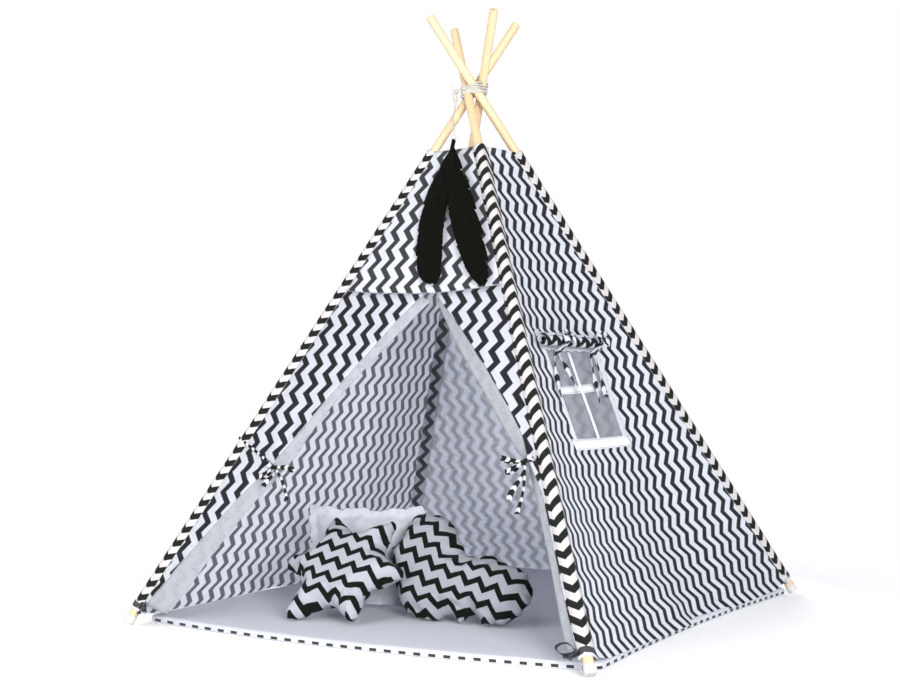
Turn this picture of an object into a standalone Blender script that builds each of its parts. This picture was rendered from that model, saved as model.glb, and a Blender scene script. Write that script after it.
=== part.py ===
"""A children's play teepee: four crossed poles, a sewn cover, a mat and loose cushions.

Metres. X runs to the right of the doorway, Y towards the back, Z up. The origin is on
the floor under the middle of the crossing. The cover is made side by side: each side is
a sheet stretched between the sleeves of two neighbouring poles.
"""

import math

import bmesh
import bpy
from mathutils import Matrix, Vector

# Poles
POLE_LENGTH = 1.790
POLE_RADIUS = 0.0110
POLE_CHAMFER = 0.0015
BASE_HALF = 0.620
CROSSING_HEIGHT = 1.320
CROSSING_PASS = 0.0132
CAP_LENGTH = 0.020
CAP_FLOOR = 0.003
CAP_WALL = 0.0017
SEAT = 0.0003

# Cover
CLOTH = 0.0015
SLEEVE_WALL = 0.0017
SLEEVE_START = 0.0435
COVER_TOP_SHARE = 0.8788
COVER_TOP = CROSSING_HEIGHT * COVER_TOP_SHARE
HEM_HEIGHT = 0.014
PANEL_TURN_DEG = 25.0
LEFT_BELLY = 0.014
RIGHT_BELLY = 0.072
BACK_BELLY = 0.014
GABLE_SEAM_SHARE = 0.6106
GABLE_SEAM_HEIGHT = CROSSING_HEIGHT * GABLE_SEAM_SHARE
GABLE_SEAM_DIP = 0.015
GABLE_LAP = 0.0006
FLAP_LEAST_WIDTH = 0.008
FACING_LAP = 0.008
FACING_STANDOFF = 0.0021
FACING_TURN_IN = 0.012
FACING_FOOT = 0.058

# How far a side hangs inward up its height: height share of the cover, share of its belly
BELLY_SHARES = (
    (0.00, 0.08), (0.04, 0.30), (0.12, 0.78), (0.20, 1.00), (0.30, 0.93), (0.42, 0.67),
    (0.54, 0.49), (0.69, 0.29), (0.86, 0.12), (1.00, 0.00),
)

# Edge of each door flap and of its facing: height share of the seam, width share of the
# distance from the middle to the pole at that height
LEFT_FLAP_SHARES = (
    (0.00, 0.965), (0.11, 0.936), (0.22, 0.896), (0.38, 0.805), (0.48, 0.724),
    (0.55, 0.670), (0.73, 0.580), (0.89, 0.330), (1.00, -0.100),
)
LEFT_FACING_SHARES = (
    (0.00, 0.870), (0.10, 0.822), (0.23, 0.788), (0.40, 0.709), (0.48, 0.650),
    (0.73, 0.500), (0.90, 0.206), (1.00, -0.105),
)
RIGHT_FLAP_SHARES = (
    (0.00, 0.985), (0.20, 0.980), (0.37, 0.965), (0.47, 0.905), (0.52, 0.885),
    (0.58, 0.872), (0.69, 0.765), (0.79, 0.627), (0.89, 0.433), (1.00, 0.140),
)
RIGHT_FACING_SHARES = (
    (0.00, 0.930), (0.08, 0.925), (0.27, 0.900), (0.48, 0.850), (0.52, 0.820),
    (0.72, 0.600), (0.90, 0.290), (1.00, 0.120),
)

# Window in the right side, across from the middle of that side
WINDOW_MIDDLE_SHARE = -0.072
WINDOW_WIDTH_SHARE = 0.427
WINDOW_LOW_SHARE = 0.349
WINDOW_HIGH_SHARE = 0.501
WINDOW_BAR_SHARE = 0.555
WINDOW_MIDDLE = BASE_HALF * WINDOW_MIDDLE_SHARE
WINDOW_WIDTH = BASE_HALF * WINDOW_WIDTH_SHARE
WINDOW_LOW = CROSSING_HEIGHT * WINDOW_LOW_SHARE
WINDOW_HIGH = CROSSING_HEIGHT * WINDOW_HIGH_SHARE
WINDOW_TAPE = 0.028
WINDOW_TOP_TAPE = 0.046
WINDOW_BAR = 0.020
NET_LAP = 0.006
BLIND_RADIUS = 0.015
BLIND_OVERHANG = 0.049
BLIND_SHIFT = -0.027
BLIND_RISE = 0.012
BLIND_LENGTH = WINDOW_WIDTH + BLIND_OVERHANG
BLIND_MIDDLE = WINDOW_MIDDLE + BLIND_SHIFT
BLIND_HEIGHT = WINDOW_HIGH + BLIND_RISE
BLIND_TIE_WIDTH = 0.016
BLIND_TIE_FRONT_SHARE = 0.33
BLIND_TIE_REAR_SHARE = 0.94
BLIND_TAIL = 0.138
STRAP = 0.0015

# Bows
BOW_THICK = 0.005
DOOR_BOW_REACH = 0.052
DOOR_BOW_ROLL_DEG = 12.0
BLIND_BOW_REACH = 0.024
DOOR_TIE_SHARE = 0.2894
DOOR_TIE_HEIGHT = CROSSING_HEIGHT * DOOR_TIE_SHARE
DOOR_TIE_WIDTH = 0.018
FOOT_TIE_START = 0.050
FOOT_TIE_WIDTH = 0.014
TIE_ROOM_TOP = 0.054
TIE_ROOM_END = 0.072
FOOT_BOW_REACH = 0.036
FOOT_BOW_HEIGHT = 0.0365

# Crown
BAND_HEIGHT = 0.021
BAND_THICK = 0.0022
BAND_ROOM = 0.0020
BAND_CORNER = 0.012
KNOT_RADIUS = 0.0075
KNOT_SET_FORWARD = 0.020
CORD_RADIUS = 0.0025
BEAD_RADIUS = 0.0070
BEAD_RISE = 0.017
BEAD_HEIGHT = COVER_TOP + BEAD_RISE
BEAD_LIFT = 0.024
FEATHER_TIP_LIFT = 0.017
FEATHER_THICK = 0.0030
FEATHER_APART = 0.0040
FEATHER_PART_SHARE = 0.10
QUILL_WIDTH = 0.0040

# Mat and cushions
MAT_INSET = 0.018
MAT_HALF = BASE_HALF - MAT_INSET
MAT_THICK = 0.018
MAT_CORNER = 0.042
MAT_EDGE = 0.006
CUSHION_SEAM = 0.0040
STAR_RADIUS = 0.172
STAR_VALLEY = 0.118
STAR_THICK = 0.080
STAR_FOOT_Y = -0.475
STAR_MIDDLE_X = -0.165
STAR_LEAN_DEG = 44.0
STAR_ROLL_DEG = -14.0
CLOUD_WIDTH = 0.430
CLOUD_HEIGHT = 0.285
CLOUD_THICK = 0.090
CLOUD_FOOT_Y = -0.320
CLOUD_MIDDLE_X = 0.098
CLOUD_LEAN_DEG = 28.0
PILLOW_WIDTH = 0.320
PILLOW_HEIGHT = 0.262
PILLOW_THICK = 0.070
PILLOW_FOOT_Y = -0.245
PILLOW_MIDDLE_X = -0.205
PILLOW_LEAN_DEG = 16.0
PILLOW_TURN_DEG = 14.0

# Counts
ROUND_SIDES = 24
PANEL_COLUMNS = 10
PANEL_ROWS = 14
SIDE_COLUMNS = 6
WINDOW_COLUMNS = 8
WINDOW_ROWS = 4
STAR_TIPS = 6
CUSHION_RINGS = 5

CORNERS = {
    "front_left": (-1, -1),
    "front_right": (1, -1),
    "back_right": (1, 1),
    "back_left": (-1, 1),
}
# Each side runs from its first corner to its second, along X or Y, and faces outward
SIDES = {
    "front": ("front_left", "front_right", 0, Vector((0, -1, 0))),
    "back": ("back_left", "back_right", 0, Vector((0, 1, 0))),
    "left": ("front_left", "back_left", 1, Vector((-1, 0, 0))),
    "right": ("front_right", "back_right", 1, Vector((1, 0, 0))),
}
COLOURS = {
    "pine": ((0.80, 0.62, 0.38), 0.55),
    "cap_white": ((0.82, 0.81, 0.79), 0.45),
    "print_cloth": ((0.52, 0.53, 0.56), 0.90),
    "sleeve_cloth": ((0.56, 0.54, 0.54), 0.90),
    "white_cloth": ((0.78, 0.79, 0.86), 0.90),
    "net": ((0.30, 0.32, 0.36), 0.85),
    "cotton": ((0.72, 0.69, 0.62), 0.90),
    "dark_ribbon": ((0.05, 0.05, 0.06), 0.60),
    "feather": ((0.012, 0.012, 0.009), 0.70),
    "bead": ((0.85, 0.74, 0.72), 0.40),
}


def clear_scene():
    """Remove the objects that a new scene starts with."""
    for item in list(bpy.data.objects):
        bpy.data.objects.remove(item, do_unlink=True)


def material_for(name, finish):
    """Make the material of one sub-part from its finish's colour and roughness."""
    colour, rough = COLOURS[finish]
    material = bpy.data.materials.new(name + "_finish")
    material.use_nodes = True
    shader = material.node_tree.nodes["Principled BSDF"]
    shader.inputs["Base Color"].default_value = (*colour, 1.0)
    shader.inputs["Roughness"].default_value = rough
    shader.inputs["Metallic"].default_value = 0.0
    return material


def add_object(name, data, finish, place=None):
    """Put mesh or curve data in the scene under its node's name."""
    item = bpy.data.objects.new(name, data)
    item.data.materials.append(material_for(name, finish))
    bpy.context.scene.collection.objects.link(item)
    if place is not None:
        item.matrix_world = place
    return item


def add_mesh(name, work, finish, place=None, smooth_deg=40.0):
    """Close a bmesh into an object with its faces pointing out."""
    bmesh.ops.recalc_face_normals(work, faces=work.faces)
    mesh = bpy.data.meshes.new(name)
    work.to_mesh(mesh)
    work.free()
    mesh.shade_smooth()
    mesh.set_sharp_from_angle(angle=math.radians(smooth_deg))
    return add_object(name, mesh, finish, place)


# Poles and the lines that everything is measured from


def foot_point(corner):
    """Where a pole's axis meets the floor."""
    sx, sy = CORNERS[corner]
    return Vector((sx * BASE_HALF, sy * BASE_HALF, 0.0))


def crossing_point(corner):
    """Where a pole's axis passes the middle, all four turning the same way round it."""
    sx, sy = CORNERS[corner]
    return Vector((sy * CROSSING_PASS, -sx * CROSSING_PASS, CROSSING_HEIGHT))


def pole_direction(corner):
    """The way from a pole's foot to its top."""
    return (crossing_point(corner) - foot_point(corner)).normalized()


def axis_at(corner, height):
    """The point of a pole's axis at a height over the floor."""
    foot = foot_point(corner)
    return foot + (crossing_point(corner) - foot) * (height / CROSSING_HEIGHT)


def cap_radius():
    """Outer radius of a foot cap, which sits snug on its pole."""
    return POLE_RADIUS + SEAT + CAP_WALL


def cap_start(corner):
    """How far up its axis a cap begins, so that its lowest edge meets the floor."""
    direction = pole_direction(corner)
    lean = math.hypot(direction.x, direction.y)
    return cap_radius() * lean / direction.z


def pole_frame(corner, along=0.0):
    """A frame at a distance up a pole's axis, with its Z axis along the pole."""
    direction = pole_direction(corner)
    turn = direction.to_track_quat("Z", "Y").to_matrix().to_4x4()
    return Matrix.Translation(foot_point(corner) + direction * along) @ turn


def sleeve_radius():
    """Outer radius of the cloth sleeve around a pole."""
    return POLE_RADIUS + SEAT + SLEEVE_WALL


def tie_room(height):
    """The cover is not sewn to its sleeves at the foot, where the ribbons pass."""
    room = STRAP + SEAT * 2
    return room * min(1.0, max(0.0, (TIE_ROOM_END - height) / (TIE_ROOM_END - TIE_ROOM_TOP)))


def side_edge(side, height, which):
    """The middle of a side's sewn edge, on the outer half of the sleeve it is sewn to."""
    corner, other = SIDES[side][which], SIDES[side][1 - which]
    start = axis_at(corner, height)
    inward = (axis_at(other, height) - start).normalized()
    turn = math.radians(PANEL_TURN_DEG)
    reach = sleeve_radius() + SEAT + CLOTH / 2 * math.sin(turn) + tie_room(height)
    square_on = inward.cross(pole_direction(corner)).length
    along = inward * (reach * math.cos(turn) / square_on)
    return start + along + side_normal(side, height) * (reach * math.sin(turn))


def side_normal(side, height):
    """The outward normal of the plane of a side's two poles at a height."""
    first, second, _, outward = SIDES[side]
    along = axis_at(second, height) - axis_at(first, height)
    up = pole_direction(first) + pole_direction(second)
    normal = along.cross(up).normalized()
    return normal if normal.dot(outward) > 0 else -normal


def belly_of(side):
    """How far a side's middle hangs inward where it hangs most."""
    return {"front": 0.0, "back": BACK_BELLY, "left": LEFT_BELLY, "right": RIGHT_BELLY}[side]


def share_at(shares, place):
    """The second of each pair at a place, on straight lines between the pairs."""
    for (p0, w0), (p1, w1) in zip(shares, shares[1:]):
        if place <= p1:
            return w0 + (w1 - w0) * (place - p0) / (p1 - p0)
    return shares[-1][1]


def on_side(side, across, height, lift=0.0):
    """A point of a side's cloth, at a place across it and a height, lifted outward."""
    a, b = side_edge(side, height, 0), side_edge(side, height, 1)
    k = SIDES[side][2]
    share = (across - a[k]) / (b[k] - a[k])
    hang = max(0.0, 4 * share * (1 - share) * share_at(BELLY_SHARES, height / COVER_TOP))
    hang *= belly_of(side)
    return a + (b - a) * share + side_normal(side, height) * (lift - hang)


def edge_across(side, height, which):
    """Where a side's sewn edge lies across it."""
    return side_edge(side, height, which)[SIDES[side][2]]


# Shapes


def turned(name, profile, finish, place, ring=False, sides=ROUND_SIDES):
    """Turn a profile of (radius, height) pairs about Z.

    A profile starts and ends on the axis, or is a closed ring that misses it.
    """
    work = bmesh.new()
    rows = []
    for radius, height in profile:
        if radius == 0:
            rows.append([work.verts.new((0, 0, height))])
            continue
        row = []
        for i in range(sides):
            angle = math.tau * i / sides
            row.append(work.verts.new((radius * math.cos(angle), radius * math.sin(angle), height)))
        rows.append(row)
    pairs = list(zip(rows, rows[1:]))
    if ring:
        pairs.append((rows[-1], rows[0]))
    for low, high in pairs:
        for i in range(sides):
            j = (i + 1) % sides
            corners = [low[i % len(low)], low[j % len(low)], high[j % len(high)], high[i % len(high)]]
            work.faces.new(list(dict.fromkeys(corners)))
    return add_mesh(name, work, finish, place)


def cloth(name, rows, finish, keep=None, thickness=CLOTH):
    """A sheet of cloth from rows of points, thickened both ways.

    keep says which cells of the grid are cloth; the others are an opening.
    """
    work = bmesh.new()
    grid = [[work.verts.new(point) for point in row] for row in rows]
    for i in range(len(rows) - 1):
        for j in range(len(rows[0]) - 1):
            if keep is None or keep(i, j):
                work.faces.new((grid[i][j], grid[i][j + 1], grid[i + 1][j + 1], grid[i + 1][j]))
    loose = [vert for vert in work.verts if not vert.link_faces]
    bmesh.ops.delete(work, geom=loose, context="VERTS")
    item = add_mesh(name, work, finish)
    body = item.modifiers.new("thickness", "SOLIDIFY")
    body.thickness = thickness
    body.offset = 0.0
    return item


def loft(name, rings, finish, place=None, closed=False):
    """Join rings of the same number of points; open ends are capped."""
    work = bmesh.new()
    rows = [[work.verts.new(point) for point in ring] for ring in rings]
    count = len(rows[0])
    pairs = list(zip(rows, rows[1:]))
    if closed:
        pairs.append((rows[-1], rows[0]))
    for low, high in pairs:
        for i in range(count):
            j = (i + 1) % count
            work.faces.new((low[i], low[j], high[j], high[i]))
    if not closed:
        work.faces.new(rows[0])
        work.faces.new(rows[-1])
    return add_mesh(name, work, finish, place)


def strap(name, path, across, finish, width, thickness=STRAP, closed=False, place=None):
    """A flat strap whose middle follows a path, with its width along one direction."""
    rings = []
    last = len(path) - 1
    for i, point in enumerate(path):
        before = path[i - 1] if (i > 0 or closed) else path[0]
        after = path[(i + 1) % len(path)] if (i < last or closed) else path[last]
        out = (after - before).cross(across).normalized() * (thickness / 2)
        side = across.normalized() * (width / 2)
        rings.append([point - side - out, point + side - out, point + side + out, point - side + out])
    return loft(name, rings, finish, place, closed)


def plate(name, outline, thickness, finish, place):
    """A flat outline of (x, y) pairs made thick along Z, both ways."""
    low = [Vector((x, y, -thickness / 2)) for x, y in outline]
    high = [Vector((x, y, thickness / 2)) for x, y in outline]
    return loft(name, [low, high], finish, place)


def smooth_loop(points, steps):
    """A closed smooth curve through points, with the same number of steps in each stretch."""
    loop = []
    count = len(points)
    for i in range(count):
        p = [Vector(points[(i + k - 1) % count]) for k in range(4)]
        for s in range(steps):
            t = s / steps
            loop.append(spline_point(p, t))
    return loop


def smooth_line(points, count):
    """Points at even steps along a smooth open curve through the points given."""
    ends = [points[0] * 2 - points[1], *points, points[-1] * 2 - points[-2]]
    line = []
    for n in range(count):
        place = n / (count - 1) * (len(points) - 1)
        i = min(int(place), len(points) - 2)
        line.append(spline_point(ends[i : i + 4], place - i))
    return line


def spline_point(p, t):
    """A point of the curve that leaves p[1] for p[2] in step with its neighbours."""
    a = p[1] * 2
    b = (p[2] - p[0]) * t
    c = (p[0] * 2 - p[1] * 5 + p[2] * 4 - p[3]) * t**2
    d = (p[1] * 3 - p[0] - p[2] * 3 + p[3]) * t**3
    return (a + b + c + d) / 2


def puffed(name, outline, thickness, finish, place, rings=CUSHION_RINGS):
    """A stuffed cushion with its outline in XY: a crown on both faces and a thin sewn rim."""
    work = bmesh.new()
    middle = sum(outline, Vector((0, 0))) / len(outline)
    rim = CUSHION_SEAM / 2
    faces = {}
    for side in (1, -1):
        rows = [[work.verts.new((*middle, side * thickness / 2))]]
        for k in range(1, rings + 1):
            share = k / rings
            height = rim + (thickness / 2 - rim) * (1 - share**2.2) ** 0.75
            row = []
            for point in outline:
                x, y = middle + (point - middle) * share
                row.append(work.verts.new((x, y, side * height)))
            rows.append(row)
        faces[side] = rows
        for low, high in zip(rows, rows[1:]):
            for i in range(len(outline)):
                j = (i + 1) % len(outline)
                corners = [low[i % len(low)], low[j % len(low)], high[j], high[i]]
                work.faces.new(list(dict.fromkeys(corners)))
    top, bottom = faces[1][-1], faces[-1][-1]
    for i in range(len(outline)):
        j = (i + 1) % len(outline)
        work.faces.new((top[i], top[j], bottom[j], bottom[i]))
    return add_mesh(name, work, finish, place)


# Poles, caps and sleeves


def build_pole(corner):
    """One pole with its cap and its sleeve."""
    start = cap_start(corner)
    foot = start + CAP_FLOOR + SEAT
    pole = (
        (0, 0),
        (POLE_RADIUS, 0),
        (POLE_RADIUS, POLE_LENGTH - POLE_CHAMFER),
        (POLE_RADIUS - POLE_CHAMFER, POLE_LENGTH),
        (0, POLE_LENGTH),
    )
    turned("pole_" + corner, pole, "pine", pole_frame(corner, foot))
    bore = POLE_RADIUS + SEAT
    cap = (
        (0, 0),
        (cap_radius(), 0),
        (cap_radius(), CAP_LENGTH),
        (bore, CAP_LENGTH),
        (bore, CAP_FLOOR),
        (0, CAP_FLOOR),
    )
    turned("foot_cap_" + corner, cap, "cap_white", pole_frame(corner, start))
    length = COVER_TOP / pole_direction(corner).z - SLEEVE_START
    tube = ((bore, 0), (sleeve_radius(), 0), (sleeve_radius(), length), (bore, length))
    turned("sleeve_" + corner, tube, "sleeve_cloth", pole_frame(corner, SLEEVE_START), ring=True)


# Cover


def levels(low, high, count):
    """Heights at even steps."""
    return [low + (high - low) * i / count for i in range(count + 1)]


def cover_levels(high, count):
    """Heights from the hem up, with two more where the cover meets its sleeves again."""
    return [HEM_HEIGHT, TIE_ROOM_TOP, *levels(TIE_ROOM_END, high, count)]


def build_left_panel():
    """The whole left side in one sheet."""
    rows = []
    for z in cover_levels(COVER_TOP, PANEL_ROWS):
        a, b = edge_across("left", z, 0), edge_across("left", z, 1)
        rows.append([on_side("left", y, z) for y in levels(a, b, PANEL_COLUMNS)])
    cloth("left_panel", rows, "print_cloth")


def window_bounds():
    """The window's front and rear edges, across the right side."""
    return WINDOW_MIDDLE - WINDOW_WIDTH / 2, WINDOW_MIDDLE + WINDOW_WIDTH / 2


def build_right_panel():
    """The right side, open where the window is."""
    front, rear = window_bounds()
    low = cover_levels(WINDOW_LOW, 5)
    mid = levels(WINDOW_LOW, WINDOW_HIGH, WINDOW_ROWS)
    high = levels(WINDOW_HIGH, COVER_TOP, 6)
    heights = low + mid[1:] + high[1:]
    sill = len(low) - 1
    rows = []
    for z in heights:
        a, b = edge_across("right", z, 0), edge_across("right", z, 1)
        at = min(z, WINDOW_HIGH)
        a0, b0 = edge_across("right", at, 0), edge_across("right", at, 1)
        p = a + (b - a) * (front - a0) / (b0 - a0)
        q = a + (b - a) * (rear - a0) / (b0 - a0)
        places = levels(a, p, SIDE_COLUMNS) + levels(p, q, WINDOW_COLUMNS)[1:]
        places += levels(q, b, SIDE_COLUMNS)[1:]
        rows.append([on_side("right", y, z) for y in places])

    def keep(i, j):
        in_height = sill <= i < sill + WINDOW_ROWS
        return not (in_height and SIDE_COLUMNS <= j < SIDE_COLUMNS + WINDOW_COLUMNS)

    cloth("right_panel", rows, "print_cloth", keep)


def half_rows(side, sign, heights, columns, dip):
    """Rows from the middle of a side to its sewn edge, dipped towards the middle."""
    rows = []
    top, low = heights[-1], heights[0]
    for height in heights:
        row = []
        for j in range(columns + 1):
            share = j / columns
            z = height - dip * (1 - share**2) * (top - height) / (top - low)
            edge = edge_across(side, z, 0 if sign < 0 else 1)
            across = sign * SEAT / 2 + (edge - sign * SEAT / 2) * share
            row.append(on_side(side, across, z))
        rows.append(row)
    return rows


def build_back_and_gable():
    """The back side and the gable over the door, each in a left and a right half."""
    for name, sign in (("left", -1), ("right", 1)):
        back = half_rows("back", sign, cover_levels(COVER_TOP, PANEL_ROWS), 5, 0.0)
        cloth("back_panel_" + name, back, "print_cloth")
        heights = levels(GABLE_SEAM_HEIGHT, COVER_TOP, 6)
        gable = half_rows("front", sign, heights, 4, GABLE_SEAM_DIP)
        cloth("gable_" + name, gable, "print_cloth")


def edge_share(sign, shares, height):
    """Where an edge of the door cloth lies at a height, across the front."""
    corner = "front_left" if sign < 0 else "front_right"
    return sign * abs(axis_at(corner, height).x) * share_at(shares, height / GABLE_SEAM_HEIGHT)


def flap_edge(sign, shares, height):
    """The free edge of a door flap, which stays a little off its sleeve."""
    sewn = abs(edge_across("front", height, 0 if sign < 0 else 1))
    return sign * min(edge_share(sign, shares, height) * sign, sewn - FLAP_LEAST_WIDTH)


def flap_rows(sign, shares, heights):
    """Rows of a door flap, from the sleeve to its free edge."""
    rows = []
    for z in heights:
        share = (z - heights[0]) / (heights[-1] - heights[0])
        sewn = edge_across("front", z, 0 if sign < 0 else 1)
        row = []
        for across in levels(sewn, flap_edge(sign, shares, z), 4):
            reach = min(1.0, abs(across / sewn))
            row.append(on_side("front", across, z - GABLE_SEAM_DIP * (1 - reach**2) * share))
        rows.append(row)
    return rows


def facing_rows(sign, flap, shares, heights):
    """Rows of a facing, from behind the flap's free edge into the doorway, turned inward."""
    rows = []
    for z in heights:
        share = (z - heights[0]) / (heights[-1] - heights[0])
        sewn = edge_across("front", z, 0 if sign < 0 else 1)
        edge = flap_edge(sign, flap, z)
        start = edge + sign * min(FACING_LAP, sign * (sewn - edge) / 2)
        row = []
        for j, across in enumerate(levels(start, edge_share(sign, shares, z), 3)):
            drop = (GABLE_SEAM_DIP + FLAP_LEAST_WIDTH) * share
            row.append(on_side("front", across, z - drop, -FACING_STANDOFF - FACING_TURN_IN * j / 3))
        rows.append(row)
    return rows


def build_door_flap(name, sign, flap_shares, facing_shares):
    """One door flap, its top sewn under the gable, and the facing along its edge."""
    top = GABLE_SEAM_HEIGHT - CLOTH - GABLE_LAP
    flap = flap_rows(sign, flap_shares, cover_levels(top, PANEL_ROWS))
    cloth("door_flap_" + name, flap, "print_cloth")
    facing = facing_rows(sign, flap_shares, facing_shares, levels(FACING_FOOT, top, PANEL_ROWS))
    cloth("door_facing_" + name, facing, "white_cloth")


def build_door():
    """Both door flaps."""
    build_door_flap("left", -1, LEFT_FLAP_SHARES, LEFT_FACING_SHARES)
    build_door_flap("right", 1, RIGHT_FLAP_SHARES, RIGHT_FACING_SHARES)


# Bows and ties

BOW_SHARES = (
    (0.00, 0.16), (0.35, 0.42), (0.80, 0.46), (1.00, 0.20), (0.85, -0.05), (0.30, -0.12),
    (0.34, -0.60), (0.50, -1.20), (0.22, -1.28), (0.08, -0.55),
    (-0.06, -0.14), (-0.20, -0.55), (-0.42, -1.05), (-0.66, -0.98), (-0.42, -0.45),
    (-0.24, -0.12), (-0.80, -0.22), (-1.00, 0.04), (-0.82, 0.34), (-0.35, 0.30),
)


def bow_outline(reach):
    """Two loops and two tails of a tied bow, as a flat outline."""
    return [(x * reach, y * reach) for x, y in BOW_SHARES]


def side_frame(side, across, height, lift, roll_deg=0.0):
    """A frame on a side: X across it, Y up its slope, Z outward."""
    normal = side_normal(side, height)
    step = on_side(side, across, height + CLOTH) - on_side(side, across, height)
    up = (step - normal * step.dot(normal)).normalized()
    turn = Matrix((up.cross(normal), up, normal)).transposed().to_4x4()
    roll = Matrix.Rotation(math.radians(roll_deg), 4, "Z")
    return Matrix.Translation(on_side(side, across, height, lift)) @ turn @ roll


def build_door_ties():
    """A strap from each front pole's sleeve to the edge of its flap, with a bow there."""
    lift = CLOTH / 2 + SEAT + STRAP / 2
    for name, sign, shares in (("left", -1, LEFT_FLAP_SHARES), ("right", 1, RIGHT_FLAP_SHARES)):
        corner = "front_" + name
        z = DOOR_TIE_HEIGHT
        upper = edge_across("front", z + DOOR_TIE_WIDTH / 2, 0 if sign < 0 else 1)
        edge = flap_edge(sign, shares, z)
        path = [on_side("front", across, z, lift) for across in levels(upper, edge, 4)]
        up = side_frame("front", edge, z, 0.0).col[1].to_3d()
        strap("door_tie_" + name, path, up, "print_cloth", DOOR_TIE_WIDTH)
        bow_lift = lift + STRAP / 2 + SEAT + BOW_THICK / 2
        furthest = abs(axis_at(corner, z).x) - sleeve_radius() * 2 - DOOR_BOW_REACH
        across = sign * min(abs(edge), furthest)
        place = side_frame("front", across, z, bow_lift, DOOR_BOW_ROLL_DEG * sign)
        plate("door_bow_" + name, bow_outline(DOOR_BOW_REACH), BOW_THICK, "print_cloth", place)


def build_foot_ties():
    """A ribbon round the foot of each sleeve and the loop of its bow."""
    inner = sleeve_radius() + SEAT
    outer = inner + STRAP
    for corner, (sx, sy) in CORNERS.items():
        ring = ((inner, 0), (outer, 0), (outer, FOOT_TIE_WIDTH), (inner, FOOT_TIE_WIDTH))
        place = pole_frame(corner, FOOT_TIE_START)
        turned("foot_tie_" + corner, ring, "dark_ribbon", place, ring=True)
        side = "front" if sy < 0 else "back"
        axis = axis_at(corner, FOOT_BOW_HEIGHT)
        inward = Vector((-sx, 0, 0))
        near = (outer + SEAT) / inward.cross(pole_direction(corner)).length
        across = axis.x - sx * near
        frame = side_frame(side, across, FOOT_BOW_HEIGHT, 0.0)
        frame.translation += frame.col[2].to_3d() * (axis - frame.translation).dot(frame.col[2].to_3d())
        outline = [(x * FOOT_BOW_REACH * sx * sy, y * FOOT_BOW_REACH) for x, y in FOOT_BOW_SHARES]
        plate("foot_bow_" + corner, outline, BOW_THICK, "dark_ribbon", frame)


# One loop beside its pole: distance from the pole and height, in shares of its reach
FOOT_BOW_SHARES = (
    (-0.095, -0.20), (0.105, 0.22), (0.50, 0.45), (1.05, 0.35), (1.55, -0.05), (1.45, -0.32),
    (0.85, -0.40), (0.20, -0.40),
)


# Window


def build_window():
    """Net, tape frame, bars, the rolled blind and its ties."""
    front, rear = window_bounds()
    net_low, net_high = WINDOW_LOW - NET_LAP, WINDOW_HIGH + NET_LAP
    behind = -(CLOTH + SEAT)
    rows = []
    for z in levels(net_low, net_high, WINDOW_ROWS):
        places = levels(front - NET_LAP, rear + NET_LAP, WINDOW_COLUMNS)
        rows.append([on_side("right", y, z, behind) for y in places])
    cloth("window_net", rows, "net")

    over = CLOTH + SEAT
    columns = [front - WINDOW_TAPE] + levels(front, rear, WINDOW_COLUMNS) + [rear + WINDOW_TAPE]
    heights = levels(WINDOW_LOW, WINDOW_HIGH, WINDOW_ROWS)
    heights = [WINDOW_LOW - WINDOW_TAPE] + heights + [WINDOW_HIGH + WINDOW_TOP_TAPE]
    rows = [[on_side("right", y, z, over) for y in columns] for z in heights]

    def keep(i, j):
        return not (1 <= i < len(heights) - 2 and 1 <= j < len(columns) - 2)

    cloth("window_frame", rows, "white_cloth", keep)

    half = WINDOW_BAR / 2
    rows = []
    for z in levels(WINDOW_LOW + SEAT, WINDOW_HIGH - SEAT, 4):
        rows.append([on_side("right", WINDOW_MIDDLE + dy, z, over) for dy in (-half, half)])
    cloth("window_bar_upright", rows, "white_cloth")
    middle = WINDOW_LOW + (WINDOW_HIGH - WINDOW_LOW) * WINDOW_BAR_SHARE
    rows = []
    for dz in (-half, half):
        places = levels(front + SEAT, rear - SEAT, WINDOW_COLUMNS)
        rows.append([on_side("right", y, middle + dz, 0.0) for y in places])
    cloth("window_bar_level", rows, "white_cloth")

    lift = over + CLOTH / 2 + SEAT + BLIND_RADIUS
    first = on_side("right", BLIND_MIDDLE - BLIND_LENGTH / 2, BLIND_HEIGHT, lift)
    last = on_side("right", BLIND_MIDDLE + BLIND_LENGTH / 2, BLIND_HEIGHT, lift)
    length = (last - first).length
    turn = (last - first).to_track_quat("Z", "Y").to_matrix().to_4x4()
    roll = ((0, 0), (BLIND_RADIUS, 0), (BLIND_RADIUS, length), (0, length))
    turned("blind_roll", roll, "print_cloth", Matrix.Translation(first) @ turn)
    for name, share in (("front", BLIND_TIE_FRONT_SHARE), ("rear", BLIND_TIE_REAR_SHARE)):
        build_blind_tie(name, first + (last - first) * share, (last - first).normalized())


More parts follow.
